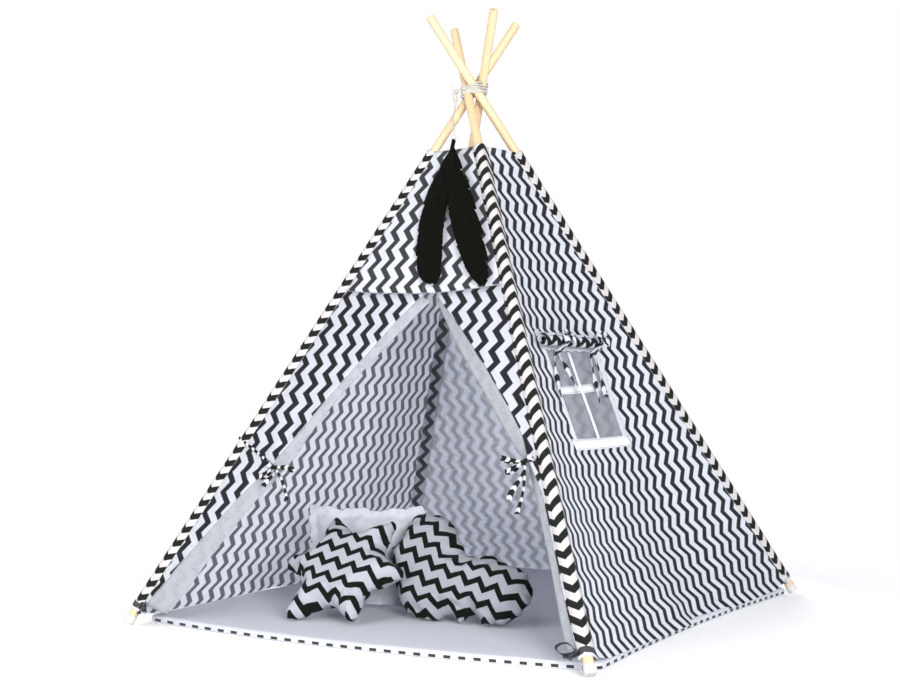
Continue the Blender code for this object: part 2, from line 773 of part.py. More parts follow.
def build_blind_tie(name, centre, wide):
    """A strap over the rolled blind that hangs on down over the window, with a bow."""
    out = side_normal("right", BLIND_HEIGHT)
    up = out.cross(wide).normalized()
    out = wide.cross(up)
    turns = levels(100.0, -100.0, 12)
    half_turn = math.radians(turns[0] - turns[1]) / 2
    round_it = (BLIND_RADIUS + SEAT) / math.cos(half_turn) + STRAP / 2
    lift = CLOTH * 3 / 2 + SEAT * 4 + STRAP / 2
    high = BLIND_HEIGHT + round_it + STRAP
    low = BLIND_HEIGHT - round_it - STRAP * 2
    path = [on_side("right", centre.y, high, lift)]
    for turn in turns:
        angle = math.radians(turn)
        path.append(centre + (up * math.sin(angle) + out * math.cos(angle)) * round_it)
    path += [on_side("right", centre.y, z, lift) for z in levels(low, BLIND_HEIGHT - BLIND_TAIL, 2)]
    strap("blind_tie_" + name, path, wide, "print_cloth", BLIND_TIE_WIDTH)
    stand = centre + out * (round_it + STRAP / 2 + SEAT + BOW_THICK / 2)
    place = Matrix.Translation(stand) @ Matrix((wide, up, out)).transposed().to_4x4()
    plate("blind_bow_" + name, bow_outline(BLIND_BOW_REACH), BOW_THICK, "print_cloth", place)


# Crown


def band_half_sizes():
    """Inner half sizes of the lashing, snug on the poles along X and loose along Y."""
    direction = pole_direction("back_right")
    lean_x = abs(direction.x / direction.z)
    lean_y = abs(direction.y / direction.z)
    snug_x = POLE_RADIUS * math.hypot(1, lean_x) + BAND_HEIGHT / 2 * lean_x
    snug_y = POLE_RADIUS * math.hypot(1, lean_y) + BAND_HEIGHT / 2 * lean_y
    return CROSSING_PASS + snug_x + SEAT, CROSSING_PASS + snug_y + SEAT + BAND_ROOM


def build_band():
    """The cotton band lashed round the crossing and its knot."""
    half_x, half_y = band_half_sizes()
    half_x, half_y = half_x + BAND_THICK / 2, half_y + BAND_THICK / 2
    path = []
    for sx, sy, start in ((1, 1, 0), (-1, 1, 90), (-1, -1, 180), (1, -1, 270)):
        centre = Vector((sx * (half_x - BAND_CORNER), sy * (half_y - BAND_CORNER), CROSSING_HEIGHT))
        for i in range(5):
            angle = math.radians(start + 90.0 * i / 4)
            path.append(centre + Vector((math.cos(angle), math.sin(angle), 0)) * BAND_CORNER)
    strap("lashing_band", path, Vector((0, 0, 1)), "cotton", BAND_HEIGHT, BAND_THICK, closed=True)
    knot = ball_profile(KNOT_RADIUS, 6)
    turned("lashing_knot", knot, "cotton", Matrix.Translation(knot_centre()), sides=16)


def ball_profile(radius, steps):
    """Half a circle from the bottom of a ball to its top."""
    profile = []
    for i in range(steps + 1):
        angle = math.pi * i / steps
        rim = 0 if i in (0, steps) else radius * math.sin(angle)
        profile.append((rim, -radius * math.cos(angle)))
    return profile


def knot_centre():
    """The lashing's knot sits against the band's left side, forward of the middle."""
    half_x, _ = band_half_sizes()
    return Vector((-half_x - BAND_THICK - SEAT - KNOT_RADIUS, -KNOT_SET_FORWARD, CROSSING_HEIGHT))


def bead_centre():
    """The bead lies in front of the top of the gable."""
    return on_side("front", 0.0, BEAD_HEIGHT, BEAD_LIFT)


# Where the cord passes, from the middle of the crossing
CORD_POINTS = (
    (-0.0370, -0.0350, -0.0500),
    (-0.0290, -0.0560, -0.0760),
    (-0.0150, -0.0790, -0.0990),
)


def build_cord():
    """The cord from the knot to the bead, and the bead."""
    start = knot_centre() - Vector((0, 0, KNOT_RADIUS + SEAT))
    bead = bead_centre()
    end = bead + Vector((0, 0, BEAD_RADIUS + SEAT))
    points = [start, start - Vector((0, 0, CORD_RADIUS * 4))]
    points += [Vector(point) + Vector((0, 0, CROSSING_HEIGHT)) for point in CORD_POINTS]
    points += [end + Vector((0, 0, CORD_RADIUS * 4)), end]
    curve = bpy.data.curves.new("feather_cord", "CURVE")
    curve.dimensions = "3D"
    line = smooth_line(points, 18)
    spline = curve.splines.new("POLY")
    spline.points.add(len(line) - 1)
    for knot, point in zip(spline.points, line):
        knot.co = (*point, 1.0)
    curve.bevel_depth = CORD_RADIUS
    curve.bevel_resolution = 2
    curve.use_fill_caps = True
    add_object("feather_cord", curve, "cotton")
    ball = ball_profile(BEAD_RADIUS, 8)
    turned("cord_bead", ball, "bead", Matrix.Translation(bead), sides=16)


# A feather's middle line and width: share of its fall, then across and width in metres of
# the plane it hangs in
LEFT_FEATHER_FALL = 0.365
LEFT_FEATHER_REACH = 0.035
LEFT_FEATHER_WIDTH = 0.078
RIGHT_FEATHER_FALL = 0.376
RIGHT_FEATHER_REACH = 0.178
RIGHT_FEATHER_WIDTH = 0.084
LEFT_VANE_SHARES = (
    (0.00, 0.00, 0.00), (0.05, 0.00, 0.00), (0.09, 0.00, 0.25), (0.18, -0.09, 0.62), (0.32, -0.30, 0.90),
    (0.50, -0.34, 0.97), (0.68, -0.09, 1.00), (0.84, 0.31, 0.94), (0.94, 0.71, 0.68), (1.00, 1.00, 0.12),
)
RIGHT_VANE_SHARES = (
    (0.00, 0.00, 0.00), (0.05, 0.01, 0.00), (0.09, 0.03, 0.25), (0.18, 0.10, 0.62), (0.32, 0.26, 0.90),
    (0.50, 0.45, 1.00), (0.68, 0.65, 0.95), (0.84, 0.83, 0.80), (0.94, 0.94, 0.48), (1.00, 1.00, 0.10),
)


def build_feather(name, fall, reach, width, shares, start_x, apart):
    """A flat feather that hangs from the bead in front of the gable."""
    slope = side_normal("front", BEAD_HEIGHT).cross(Vector((1, 0, 0))).z
    top = BEAD_HEIGHT - (BEAD_RADIUS + SEAT) * abs(slope)
    rings = []
    for down, aside, vane in shares:
        z = top - fall * down
        lift = BEAD_LIFT + (FEATHER_TIP_LIFT - BEAD_LIFT) * down
        lift += apart * min(1.0, down / FEATHER_PART_SHARE)
        half = (QUILL_WIDTH + (width - QUILL_WIDTH) * vane) / 2
        middle = on_side("front", start_x + reach * aside, z, lift)
        normal = side_normal("front", z) * FEATHER_THICK / 2
        edge = Vector((half, 0, 0))
        rings.append([middle - edge, middle + normal, middle + edge, middle - normal])
    loft(name, rings, "feather")


def build_feathers():
    """Two feathers side by side, the right one in front."""
    quill = (QUILL_WIDTH + SEAT) / 2
    build_feather(
        "feather_left", LEFT_FEATHER_FALL, LEFT_FEATHER_REACH, LEFT_FEATHER_WIDTH,
        LEFT_VANE_SHARES, -quill, 0.0,
    )
    build_feather(
        "feather_right", RIGHT_FEATHER_FALL, RIGHT_FEATHER_REACH, RIGHT_FEATHER_WIDTH,
        RIGHT_VANE_SHARES, quill, FEATHER_APART,
    )


# Mat and cushions


def rounded_square(half, corner, height, steps=5):
    """A square outline with round corners at a height."""
    ring = []
    for sx, sy, start in ((1, 1, 0), (-1, 1, 90), (-1, -1, 180), (1, -1, 270)):
        for i in range(steps + 1):
            angle = math.radians(start + 90.0 * i / steps)
            x = sx * (half - corner) + corner * math.cos(angle)
            y = sy * (half - corner) + corner * math.sin(angle)
            ring.append(Vector((x, y, height)))
    return ring


def build_mat():
    """The padded floor mat with a soft edge."""
    rings = [
        rounded_square(MAT_HALF - MAT_EDGE, MAT_CORNER - MAT_EDGE, 0.0),
        rounded_square(MAT_HALF, MAT_CORNER, MAT_THICK * 0.35),
        rounded_square(MAT_HALF, MAT_CORNER, MAT_THICK * 0.65),
        rounded_square(MAT_HALF - MAT_EDGE, MAT_CORNER - MAT_EDGE, MAT_THICK),
    ]
    loft("floor_mat", rings, "white_cloth")


def standing_frame(middle_x, foot_y, lean_deg, turn_deg=0.0, roll_deg=0.0, rise=0.0):
    """A frame with Y up a cushion that leans back on its lower edge, Z to the front."""
    lean = Matrix.Rotation(math.radians(90.0 - lean_deg), 4, "X")
    turn = Matrix.Rotation(math.radians(turn_deg), 4, "Z")
    roll = Matrix.Rotation(math.radians(roll_deg), 4, "Z")
    place = Matrix.Translation((middle_x, foot_y, MAT_THICK + SEAT))
    return place @ turn @ lean @ Matrix.Translation((0, rise, 0)) @ roll


def drop_to_mat(item):
    """Lower or lift a cushion so that its lowest point just clears the mat."""
    bpy.context.view_layer.update()
    lowest = min((item.matrix_world @ vert.co).z for vert in item.data.vertices)
    item.matrix_world = Matrix.Translation((0, 0, MAT_THICK + SEAT - lowest)) @ item.matrix_world


def star_outline():
    """Soft points round a circle."""
    ring = []
    for i in range(STAR_TIPS * 2):
        angle = math.radians(90.0) + math.tau * (i + 0.5) / (STAR_TIPS * 2)
        radius = STAR_RADIUS if i % 2 else STAR_VALLEY
        ring.append((radius * math.cos(angle), radius * math.sin(angle)))
    return smooth_loop(ring, 4)


CLOUD_SHARES = (
    (0.06, 0.72), (0.09, 0.93), (0.20, 1.00), (0.33, 0.97), (0.44, 0.84), (0.53, 0.68),
    (0.62, 0.66), (0.72, 0.66), (0.84, 0.58), (0.96, 0.46), (1.00, 0.31), (0.97, 0.17),
    (0.88, 0.05), (0.75, 0.00), (0.66, 0.07), (0.57, 0.00), (0.50, 0.05), (0.40, 0.00),
    (0.28, 0.03), (0.19, 0.10), (0.11, 0.27), (0.04, 0.45), (0.00, 0.60),
)


def cloud_outline():
    """Round lobes on top and small scallops below."""
    ring = [((x - 0.5) * CLOUD_WIDTH, y * CLOUD_HEIGHT) for x, y in CLOUD_SHARES]
    return smooth_loop(ring, 2)


PILLOW_SHARES = (
    (0.00, 0.00), (0.25, 0.03), (0.50, 0.045), (0.75, 0.03), (1.00, 0.00), (0.97, 0.25), (0.955, 0.50),
    (0.97, 0.75), (1.00, 1.00), (0.75, 0.97), (0.50, 0.955), (0.25, 0.97), (0.00, 1.00), (0.03, 0.75),
    (0.045, 0.50), (0.03, 0.25),
)


def pillow_outline():
    """A square whose sides draw in between its corners."""
    ring = []
    count = len(PILLOW_SHARES)
    for i in range(count):
        a, b = Vector(PILLOW_SHARES[i]), Vector(PILLOW_SHARES[(i + 1) % count])
        for s in range(3):
            x, y = a + (b - a) * s / 3
            ring.append(Vector(((x - 0.5) * PILLOW_WIDTH, y * PILLOW_HEIGHT)))
    return ring


def build_cushions():
    """The star, the cloud and the plain pillow, each standing on the mat and leaning back."""
    lean = standing_frame(STAR_MIDDLE_X, STAR_FOOT_Y, STAR_LEAN_DEG, 0.0, STAR_ROLL_DEG, STAR_RADIUS)
    drop_to_mat(puffed("star_cushion", star_outline(), STAR_THICK, "print_cloth", lean))
    lean = standing_frame(CLOUD_MIDDLE_X, CLOUD_FOOT_Y, CLOUD_LEAN_DEG)
    drop_to_mat(puffed("cloud_cushion", cloud_outline(), CLOUD_THICK, "print_cloth", lean))
    lean = standing_frame(PILLOW_MIDDLE_X, PILLOW_FOOT_Y, PILLOW_LEAN_DEG, PILLOW_TURN_DEG)
    drop_to_mat(puffed("square_pillow", pillow_outline(), PILLOW_THICK, "white_cloth", lean))


def main():
    """Build every piece of the teepee."""
    clear_scene()
    for corner in CORNERS:
        build_pole(corner)
    build_left_panel()
    build_right_panel()
    build_back_and_gable()
    build_door()
    build_door_ties()
    build_foot_ties()
    build_window()
    build_band()
    build_cord()
    build_feathers()
    build_mat()
    build_cushions()


main()
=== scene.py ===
"""The look of a children's play teepee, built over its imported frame.

Metres, in the frame's own axes: X to the right of the doorway, Y to the back, Z up.
Each sub-assembly is a class whose fields are its real sizes. Cloth is laid out on the
same lines as the solids: every side is a sheet between two leaning poles.
"""

import logging
import math
from dataclasses import dataclass, field
from enum import Enum
from typing import Callable, Sequence

import bpy
import numpy as np
from mathutils import Matrix, Vector, noise
from mathutils.geometry import delaunay_2d_cdt


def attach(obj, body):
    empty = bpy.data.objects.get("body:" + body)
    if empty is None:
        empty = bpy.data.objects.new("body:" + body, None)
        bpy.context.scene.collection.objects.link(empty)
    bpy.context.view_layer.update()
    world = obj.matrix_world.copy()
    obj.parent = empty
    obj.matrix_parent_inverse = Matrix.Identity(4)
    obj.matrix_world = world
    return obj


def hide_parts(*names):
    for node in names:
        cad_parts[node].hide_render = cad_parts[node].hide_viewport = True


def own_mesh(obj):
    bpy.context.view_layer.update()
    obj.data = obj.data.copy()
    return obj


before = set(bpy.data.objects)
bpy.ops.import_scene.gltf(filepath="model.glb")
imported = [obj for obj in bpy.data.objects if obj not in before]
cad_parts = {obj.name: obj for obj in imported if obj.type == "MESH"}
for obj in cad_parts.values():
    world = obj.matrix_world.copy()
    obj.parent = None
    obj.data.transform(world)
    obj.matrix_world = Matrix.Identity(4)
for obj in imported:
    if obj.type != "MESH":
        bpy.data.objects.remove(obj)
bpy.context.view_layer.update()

LOG = logging.getLogger("teepee")
UV_NAME = "print"
UP = Vector((0, 0, 1))

Colour = tuple[float, float, float]
Place = tuple[float, float]
Curve = Sequence[Place]
Piece = bpy.types.Object
Material = bpy.types.Material
Lift = Callable[[float, float], float]


class Corner(Enum):
    """A pole's foot, as the signs of its X and Y."""

    FRONT_LEFT = (-1, -1)
    FRONT_RIGHT = (1, -1)
    BACK_RIGHT = (1, 1)
    BACK_LEFT = (-1, 1)

    @property
    def node(self) -> str:
        """The ending of this corner's node names."""
        return self.name.lower()

    @property
    def body(self) -> str:
        """The frame body that this corner's pieces ride on."""
        return "left_frame" if self.value[0] < 0 else "right_frame"


class Side(Enum):
    """A side of the cover: its two corners, the axis it runs along and its outward axis."""

    FRONT = (Corner.FRONT_LEFT, Corner.FRONT_RIGHT, 0, (0, -1, 0))
    BACK = (Corner.BACK_LEFT, Corner.BACK_RIGHT, 0, (0, 1, 0))
    LEFT = (Corner.FRONT_LEFT, Corner.BACK_LEFT, 1, (-1, 0, 0))
    RIGHT = (Corner.FRONT_RIGHT, Corner.BACK_RIGHT, 1, (1, 0, 0))

    @property
    def corners(self) -> tuple[Corner, Corner]:
        """The two poles that it spans."""
        return self.value[:2]

    @property
    def axis(self) -> int:
        """The axis that it runs along."""
        return self.value[2]

    @property
    def outward(self) -> Vector:
        """The axis that it faces."""
        return Vector(self.value[3])


# Numbers and curves


def clamped(value: float) -> float:
    """A value held between 0 and 1."""
    return min(1.0, max(0.0, value))


def smooth(low: float, high: float, value: float) -> float:
    """Rise smoothly from 0 at low to 1 at high."""
    share = clamped((value - low) / (high - low))
    return share * share * (3 - 2 * share)


def steps(low: float, high: float, count: int) -> list[float]:
    """Values at even steps, both ends included."""
    return [low + (high - low) * i / count for i in range(count + 1)]


def round_steps(count: int) -> list[float]:
    """Angles at even steps round a circle, with the first one again at the end."""
    return steps(0.0, math.tau, count)


def ripple(*place: float) -> float:
    """Smooth noise from about -1 to 1 at a place."""
    return noise.noise(Vector(place)) * 2.0


def bulge(share: float) -> float:
    """A hump that is 0 at both ends of a span and 1 in its middle."""
    return 4 * share * (1 - share)


def on_curve(curve: Curve, place: float) -> float:
    """The value of a listed curve at a place, rounded between its points."""
    xs, ys = zip(*curve)
    i = max(0, min(len(xs) - 2, int(np.searchsorted(xs, place, side="right")) - 1))
    span = xs[i + 1] - xs[i]
    t = clamped((place - xs[i]) / span)
    slopes = []
    for k in (i, i + 1):
        lo, hi = max(0, k - 1), min(len(xs) - 1, k + 1)
        slopes.append((ys[hi] - ys[lo]) / (xs[hi] - xs[lo]) * span)
    rise = t * t * (3 - 2 * t)
    ease = slopes[0] * t * (t - 1) ** 2 + slopes[1] * t * t * (t - 1)
    return ys[i] * (1 - rise) + ys[i + 1] * rise + ease


def smooth_path(points: Sequence[Vector], count: int) -> list[Vector]:
    """Points at even steps along a smooth open curve through the points given."""
    ends = [points[0] * 2 - points[1], *points, points[-1] * 2 - points[-2]]
    path = []
    for place in steps(0.0, len(points) - 1, count - 1):
        i = min(int(place), len(points) - 2)
        t, (a, b, c, d) = place - i, ends[i : i + 4]
        bend = (a * 2 - b * 5 + c * 4 - d) * t**2 + (b * 3 - a - c * 3 + d) * t**3
        path.append((b * 2 + (c - a) * t + bend) / 2)
    return path


def runs_along(path: Sequence[Vector]) -> list[float]:
    """How far along a path each of its points lies."""
    runs = [0.0]
    for a, b in zip(path, path[1:]):
        runs.append(runs[-1] + (b - a).length)
    return runs


def way_at(path: Sequence[Vector], k: int) -> Vector:
    """The way that a path runs at one of its points."""
    return (path[min(k + 1, len(path) - 1)] - path[max(k - 1, 0)]).normalized()


# Meshes


def mesh_piece(
    name: str,
    points: Sequence[Vector],
    faces: Sequence[Sequence[int]],
    places: Sequence[Place],
    materials: Sequence[Material],
) -> Piece:
    """Make a smooth-shaded mesh, with a place on the flat cloth for each corner of its faces."""
    data = bpy.data.meshes.new(name)
    data.from_pydata([tuple(p) for p in points], [], [tuple(f) for f in faces])
    if places:
        layer = data.uv_layers.new(name=UV_NAME)
        layer.data.foreach_set("uv", np.asarray(places, np.float32).ravel())
    data.shade_smooth()
    for material in materials:
        data.materials.append(material)
    piece = bpy.data.objects.new(name, data)
    bpy.context.scene.collection.objects.link(piece)
    return piece


def thicken(piece: Piece, thickness: float) -> Piece:
    """Give a sheet its thickness; further materials go to its inner side and its cut edge."""
    body = piece.modifiers.new("thickness", "SOLIDIFY")
    body.thickness = thickness
    body.offset = 0.0
    if len(piece.data.materials) > 1:
        body.material_offset = 1
    if len(piece.data.materials) > 2:
        body.material_offset_rim = 2
    return piece


def grid_piece(
    name: str,
    rows: Sequence[Sequence[Vector]],
    uvs: Sequence[Sequence[Place]],
    materials: Sequence[Material],
    keep: Callable[[int, int], bool] | None = None,
    outward: Vector | None = None,
) -> Piece:
    """Make a sheet from rows of points, each with its place on the flat cloth in metres.

    keep says which cells are cloth, and outward is the way that the outer side faces, if the
    rows may run either way.
    """
    count = len(rows[0])
    i, j = len(rows) // 2, count // 2
    across, up = rows[i][j] - rows[i][j - 1], rows[i][j] - rows[i - 1][j]
    order = -1 if outward is not None and across.cross(up).dot(outward) < 0 else 1
    faces = []
    for i in range(len(rows) - 1):
        for j in range(count - 1):
            if keep is None or keep(i, j):
                a = i * count + j
                faces.append((a, a + 1, a + count + 1, a + count)[::order])
    used = sorted({v for face in faces for v in face})
    table = {v: n for n, v in enumerate(used)}
    points, places = sum(map(list, rows), []), sum(map(list, uvs), [])
    return mesh_piece(
        name,
        [points[v] for v in used],
        [[table[v] for v in face] for face in faces],
        [places[v] for face in faces for v in face],
        materials,
    )


def ring_piece(
    name: str,
    rings: Sequence[Sequence[Vector]],
    uvs: Sequence[Sequence[Place]],
    materials: Sequence[Material],
    caps: bool = True,
) -> Piece:
    """Make a tube from closed rings of points, and cap its ends if asked.

    uvs holds one more place than a ring has points, so that a print runs round without a
    jump in it.
    """
    sides = len(rings[0])
    faces, places = [], []
    for k in range(len(rings) - 1):
        for i in range(sides):
            a, b = k * sides + i, k * sides + (i + 1) % sides
            faces.append((a, b, b + sides, a + sides))
            places += [uvs[k][i], uvs[k][i + 1], uvs[k + 1][i + 1], uvs[k + 1][i]]
    for k, order in ((0, -1), (len(rings) - 1, 1)) if caps else ():
        faces.append([k * sides + i for i in range(sides)][::order])
        places += list(uvs[k][:sides])[::order]
    return mesh_piece(name, sum(map(list, rings), []), faces, places, materials)


def lathe_piece(
    name: str, profile: Curve, place: Matrix, material: Material, sides: int = 40, wobble: float = 0.0
) -> Piece:
    """Turn a profile of (radius, height) pairs about Z, and keep its own frame for its grain.

    The profile runs from the bottom up, with small radii at its ends. wobble is how uneven
    it is, as a share of its radius.
    """
    rings, uvs = [], []
    for radius, height in profile:
        ring = []
        for angle in round_steps(sides)[:-1]:
            x, y = math.cos(angle), math.sin(angle)
            uneven = 1 + wobble * ripple(x * 2, y * 2, height * 9)
            ring.append(Vector((x, y, 0)) * radius * uneven + UP * height)
        rings.append(ring)
        uvs.append([(height, radius * angle) for angle in round_steps(sides)])
    piece = ring_piece(name, rings, uvs, [material])
    piece.matrix_world = place
    return piece


def tube_piece(
    name: str,
    path: Sequence[Vector],
    radii: Sequence[float],
    material: Material,
    sides: int,
    lobes: int = 0,
    depth: float = 0.0,
    turn: float = 0.0,
) -> Piece:
    """Sweep a round section along a path, or one of so many strands (lobes).

    depth is that of the grooves between the strands, as a share of the radius, and turn is
    how often they turn for each metre of the path.
    """
    rings, uvs = [], []
    normal = (path[1] - path[0]).orthogonal().normalized()
    for k, (centre, run) in enumerate(zip(path, runs_along(path))):
        tangent = way_at(path, k)
        normal = (normal - tangent * normal.dot(tangent)).normalized()
        other = tangent.cross(normal)
        ring = []
        for angle in round_steps(sides)[:-1]:
            size = radii[k]
            if lobes:
                groove = abs(math.cos(lobes / 2 * (angle - math.tau * turn * run)))
                size *= 1 - depth * (1 - groove) ** 1.5
            ring.append(centre + (normal * math.cos(angle) + other * math.sin(angle)) * size)
        rings.append(ring)
        uvs.append([(run, radii[k] * angle) for angle in round_steps(sides)])
    return ring_piece(name, rings, uvs, [material])


def ribbon_piece(
    name: str,
    path: Sequence[Vector],
    across: Sequence[Vector],
    widths: Sequence[float],
    material: Material,
    thickness: float,
    shift: float = 0.0,
    cup: float = 0.0,
) -> Piece:
    """Lay a flat strip of cloth along a path, with its way across and its width at each point.

    shift is how far along the printed cloth the strip was cut, and cup is how far its middle
    stands out from its edges, as a share of the width.
    """
    rows, uvs = [], []
    for k, (centre, run) in enumerate(zip(path, runs_along(path))):
        wide, width = across[k].normalized(), widths[k]
        out = way_at(path, k).cross(across[k]).normalized()
        shares = steps(-0.5, 0.5, 6)
        rows.append([centre + wide * (s * width) + out * (cup * width * (1 - 4 * s * s)) for s in shares])
        uvs.append([(shift + run, s * width) for s in shares])
    return thicken(grid_piece(name, rows, uvs, [material]), thickness)


def joined(name: str, pieces: Sequence[Piece]) -> Piece:
    """Join pieces into one mesh in the frame's axes, with their modifiers applied."""
    graph = bpy.context.evaluated_depsgraph_get()
    points, faces, slots, places = [], [], [], []
    materials: list[Material] = []
    for piece in pieces:
        shaped = piece.evaluated_get(graph)
        data = shaped.to_mesh()
        start = len(points)
        points += [piece.matrix_world @ v.co for v in data.vertices]
        own = [slot.material for slot in piece.material_slots]
        materials += [material for material in own if material not in materials]
        layer = data.uv_layers[UV_NAME].data
        for face in data.polygons:
            faces.append([start + v for v in face.vertices])
            slots.append(materials.index(own[face.material_index]))
            places += [tuple(layer[i].uv) for i in face.loop_indices]
        shaped.to_mesh_clear()
    whole = mesh_piece(name, points, faces, places, materials)
    whole.data.polygons.foreach_set("material_index", slots)
    for piece in pieces:
        bpy.data.objects.remove(piece, do_unlink=True)
    return whole


# The lines that the tent is laid out on

BELLY_CURVE = (
    (0.00, 0.08), (0.04, 0.30), (0.12, 0.78), (0.20, 1.00), (0.30, 0.93), (0.42, 0.67),
    (0.54, 0.49), (0.69, 0.29), (0.86, 0.12), (1.00, 0.00),
)
BELLIES = {Side.FRONT: 0.0, Side.BACK: 0.014, Side.LEFT: 0.014, Side.RIGHT: 0.072}


def remembered(work_out: Callable) -> Callable:
    """Keep what a method works out for a side and a height, to a hundredth of a millimetre."""
    kept: dict[tuple[Side, float], object] = {}

    def call(tent: "Tent", side: Side, height: float) -> object:
        """The kept answer."""
        key = side, round(height, 5)
        if key not in kept:
            kept[key] = work_out(tent, *key)
        return kept[key]

    return call


@dataclass(frozen=True)
class Tent:
    """Pole lines, sleeves and the cloth surface of each side."""

    base_half: float = 0.620
    crossing: float = 1.320
    crossing_pass: float = 0.0132
    pole_radius: float = 0.0110
    sleeve_radius: float = 0.0130
    seat: float = 0.0003
    cloth: float = 0.0015
    strap: float = 0.0015
    cover_top: float = 1.16002
    room_top: float = 0.054
    room_end: float = 0.072
    turn: float = math.radians(25)

    def foot(self, corner: Corner) -> Vector:
        """Where a pole's axis meets the floor."""
        return Vector((*corner.value, 0.0)) * self.base_half

    def direction(self, corner: Corner) -> Vector:
        """The way from a pole's foot to its top."""
        sx, sy = corner.value
        passing = Vector((sy * self.crossing_pass, -sx * self.crossing_pass, self.crossing))
        return (passing - self.foot(corner)).normalized()

    def axis(self, corner: Corner, height: float) -> Vector:
        """The point of a pole's axis at a height."""
        way = self.direction(corner)
        return self.foot(corner) + way * (height / way.z)

    def frame_on(self, corner: Corner, along: float) -> Matrix:
        """A frame at a distance up a pole's axis, with Z along the pole."""
        way = self.direction(corner)
        turn = way.to_track_quat("Z", "Y").to_matrix().to_4x4()
        return Matrix.Translation(self.foot(corner) + way * along) @ turn

    @remembered
    def normal(self, side: Side, height: float) -> Vector:
        """The outward normal of the plane between a side's two poles."""
        first, second = side.corners
        along = self.axis(second, height) - self.axis(first, height)
        normal = along.cross(self.direction(first) + self.direction(second)).normalized()
        return normal if normal.dot(side.outward) > 0 else -normal

    @remembered
    def edges(self, side: Side, height: float) -> tuple[Vector, ...]:
        """The sewn edges of a side, on the outer halves of its two sleeves."""
        found = []
        low = clamped((self.room_end - height) / (self.room_end - self.room_top))
        room = (self.strap + 2 * self.seat) * low
        for corner, other in (side.corners, side.corners[::-1]):
            start = self.axis(corner, height)
            inward = (self.axis(other, height) - start).normalized()
            reach = self.sleeve_radius + self.seat + self.cloth / 2 * math.sin(self.turn) + room
            square_on = inward.cross(self.direction(corner)).length
            along = inward * (reach * math.cos(self.turn) / square_on)
            found.append(start + along + self.normal(side, height) * (reach * math.sin(self.turn)))
        return tuple(found)

    def reach(self, side: Side, height: float) -> Place:
        """How far across a side its two sewn edges lie."""
        first, second = self.edges(side, height)
        return first[side.axis], second[side.axis]

    def sewn(self, sign: int, height: float, side: Side = Side.FRONT) -> float:
        """How far across a side its left (-1) or right (1) sewn edge lies."""
        return self.reach(side, height)[sign > 0]

    def hang(self, side: Side, height: float) -> float:
        """How far a side's middle hangs in between its poles at a height."""
        return BELLIES[side] * on_curve(BELLY_CURVE, height / self.cover_top)

    def point(self, side: Side, across: float, height: float, lift: float = 0.0) -> Vector:
        """A point of a side's cloth, lifted outward."""
        a, b = self.edges(side, height)
        share = (across - a[side.axis]) / (b[side.axis] - a[side.axis])
        hang = max(0.0, bulge(share)) * self.hang(side, height)
        return a + (b - a) * share + self.normal(side, height) * (lift - hang)

    def slope(self) -> float:
        """Length along a side for each metre of height."""
        return math.hypot(self.crossing, self.base_half) / self.crossing

    def side_frame(self, side: Side, across: float, height: float, lift: float) -> Matrix:
        """A frame on a side: X across it, Y up its slope, Z outward."""
        out = self.normal(side, height)
        step = self.point(side, across, height + 0.002) - self.point(side, across, height)
        up = (step - out * step.dot(out)).normalized()
        turn = Matrix((up.cross(out), up, out)).transposed().to_4x4()
        return Matrix.Translation(self.point(side, across, height, lift)) @ turn

    def cloth_place(self, side: Side, across: float, height: float) -> Place:
        """Where a point of a side lies on its flat cloth, from the middle of the side."""
        low, high = self.reach(side, height)
        bend = 8 * self.hang(side, height) / (high - low) ** 2
        off = across - (low + high) / 2
        return off + bend * bend * off**3 / 6, height * self.slope()


TENT = Tent()


def place_piece(
    piece: Piece, body: str, slot: str, node: str, gathers: tuple[Side, Corner] | None = None
) -> None:
    """Say which body a piece rides on and the solid that it stands for, which is hidden; slot, its finish,
    is not used.

    A piece that gathers lies in the side given, beside the pole at the corner given, and gets its own copy
    of its mesh.
    """
    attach(piece, body)
    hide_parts(node)
    if gathers:
        side, corner = gathers
        across = TENT.direction(corner).cross(TENT.normal(side, TENT.crossing / 2)).normalized()
        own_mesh(piece)
    LOG.info("%s rides on %s", piece.name, body)


# Nodes


@dataclass(frozen=True)
class Signal:
    """A node's output. Arithmetic on it adds further nodes to its tree."""

    work: "Wiring"
    socket: bpy.types.NodeSocket

    def __add__(self, other: object) -> "Signal":
        """The sum with another number."""
        return self.work.math("ADD", self, other)

    def __sub__(self, other: object) -> "Signal":
        """This number less another."""
        return self.work.math("SUBTRACT", self, other)

    def __rsub__(self, other: object) -> "Signal":
        """Another number less this one."""
        return self.work.math("SUBTRACT", other, self)

    def __mul__(self, other: object) -> "Signal":
        """The product with another number."""
        return self.work.math("MULTIPLY", self, other)

    def __truediv__(self, other: object) -> "Signal":
        """This number over another."""
        return self.work.math("DIVIDE", self, other)

    def __abs__(self) -> "Signal":
        """Its size without its sign."""
        return self.work.math("ABSOLUTE", self)

    def sine(self) -> "Signal":
        """Its sine."""
        return self.work.math("SINE", self)

    def off_middle(self) -> "Signal":
        """How far its fraction lies from one half."""
        return abs(self.work.math("FRACT", self) - 0.5)

    def scaled(self, factor: object, more: object) -> "Signal":
        """This number times a factor, and more added."""
        return self.work.math("MULTIPLY_ADD", self, factor, more)

    def stretched(self, sizes: tuple[float, float, float]) -> "Signal":
        """This vector with each part times its own size."""
        return self.work.vector("MULTIPLY", self, sizes)

    def parts(self) -> list["Signal"]:
        """The three parts of this vector."""
        node = self.work.add("SeparateXYZ", self)
        return [Signal(self.work, socket) for socket in node.outputs]

    def between(self, low: float, high: float, first: float = 0.0, second: float = 1.0) -> "Signal":
        """Ease from first to second as this number goes from low to high."""
        values, kind = (self, low, high, first, second), "SMOOTHSTEP"
        node = self.work.add("MapRange", *values, interpolation_type=kind)
        return Signal(self.work, node.outputs[0])


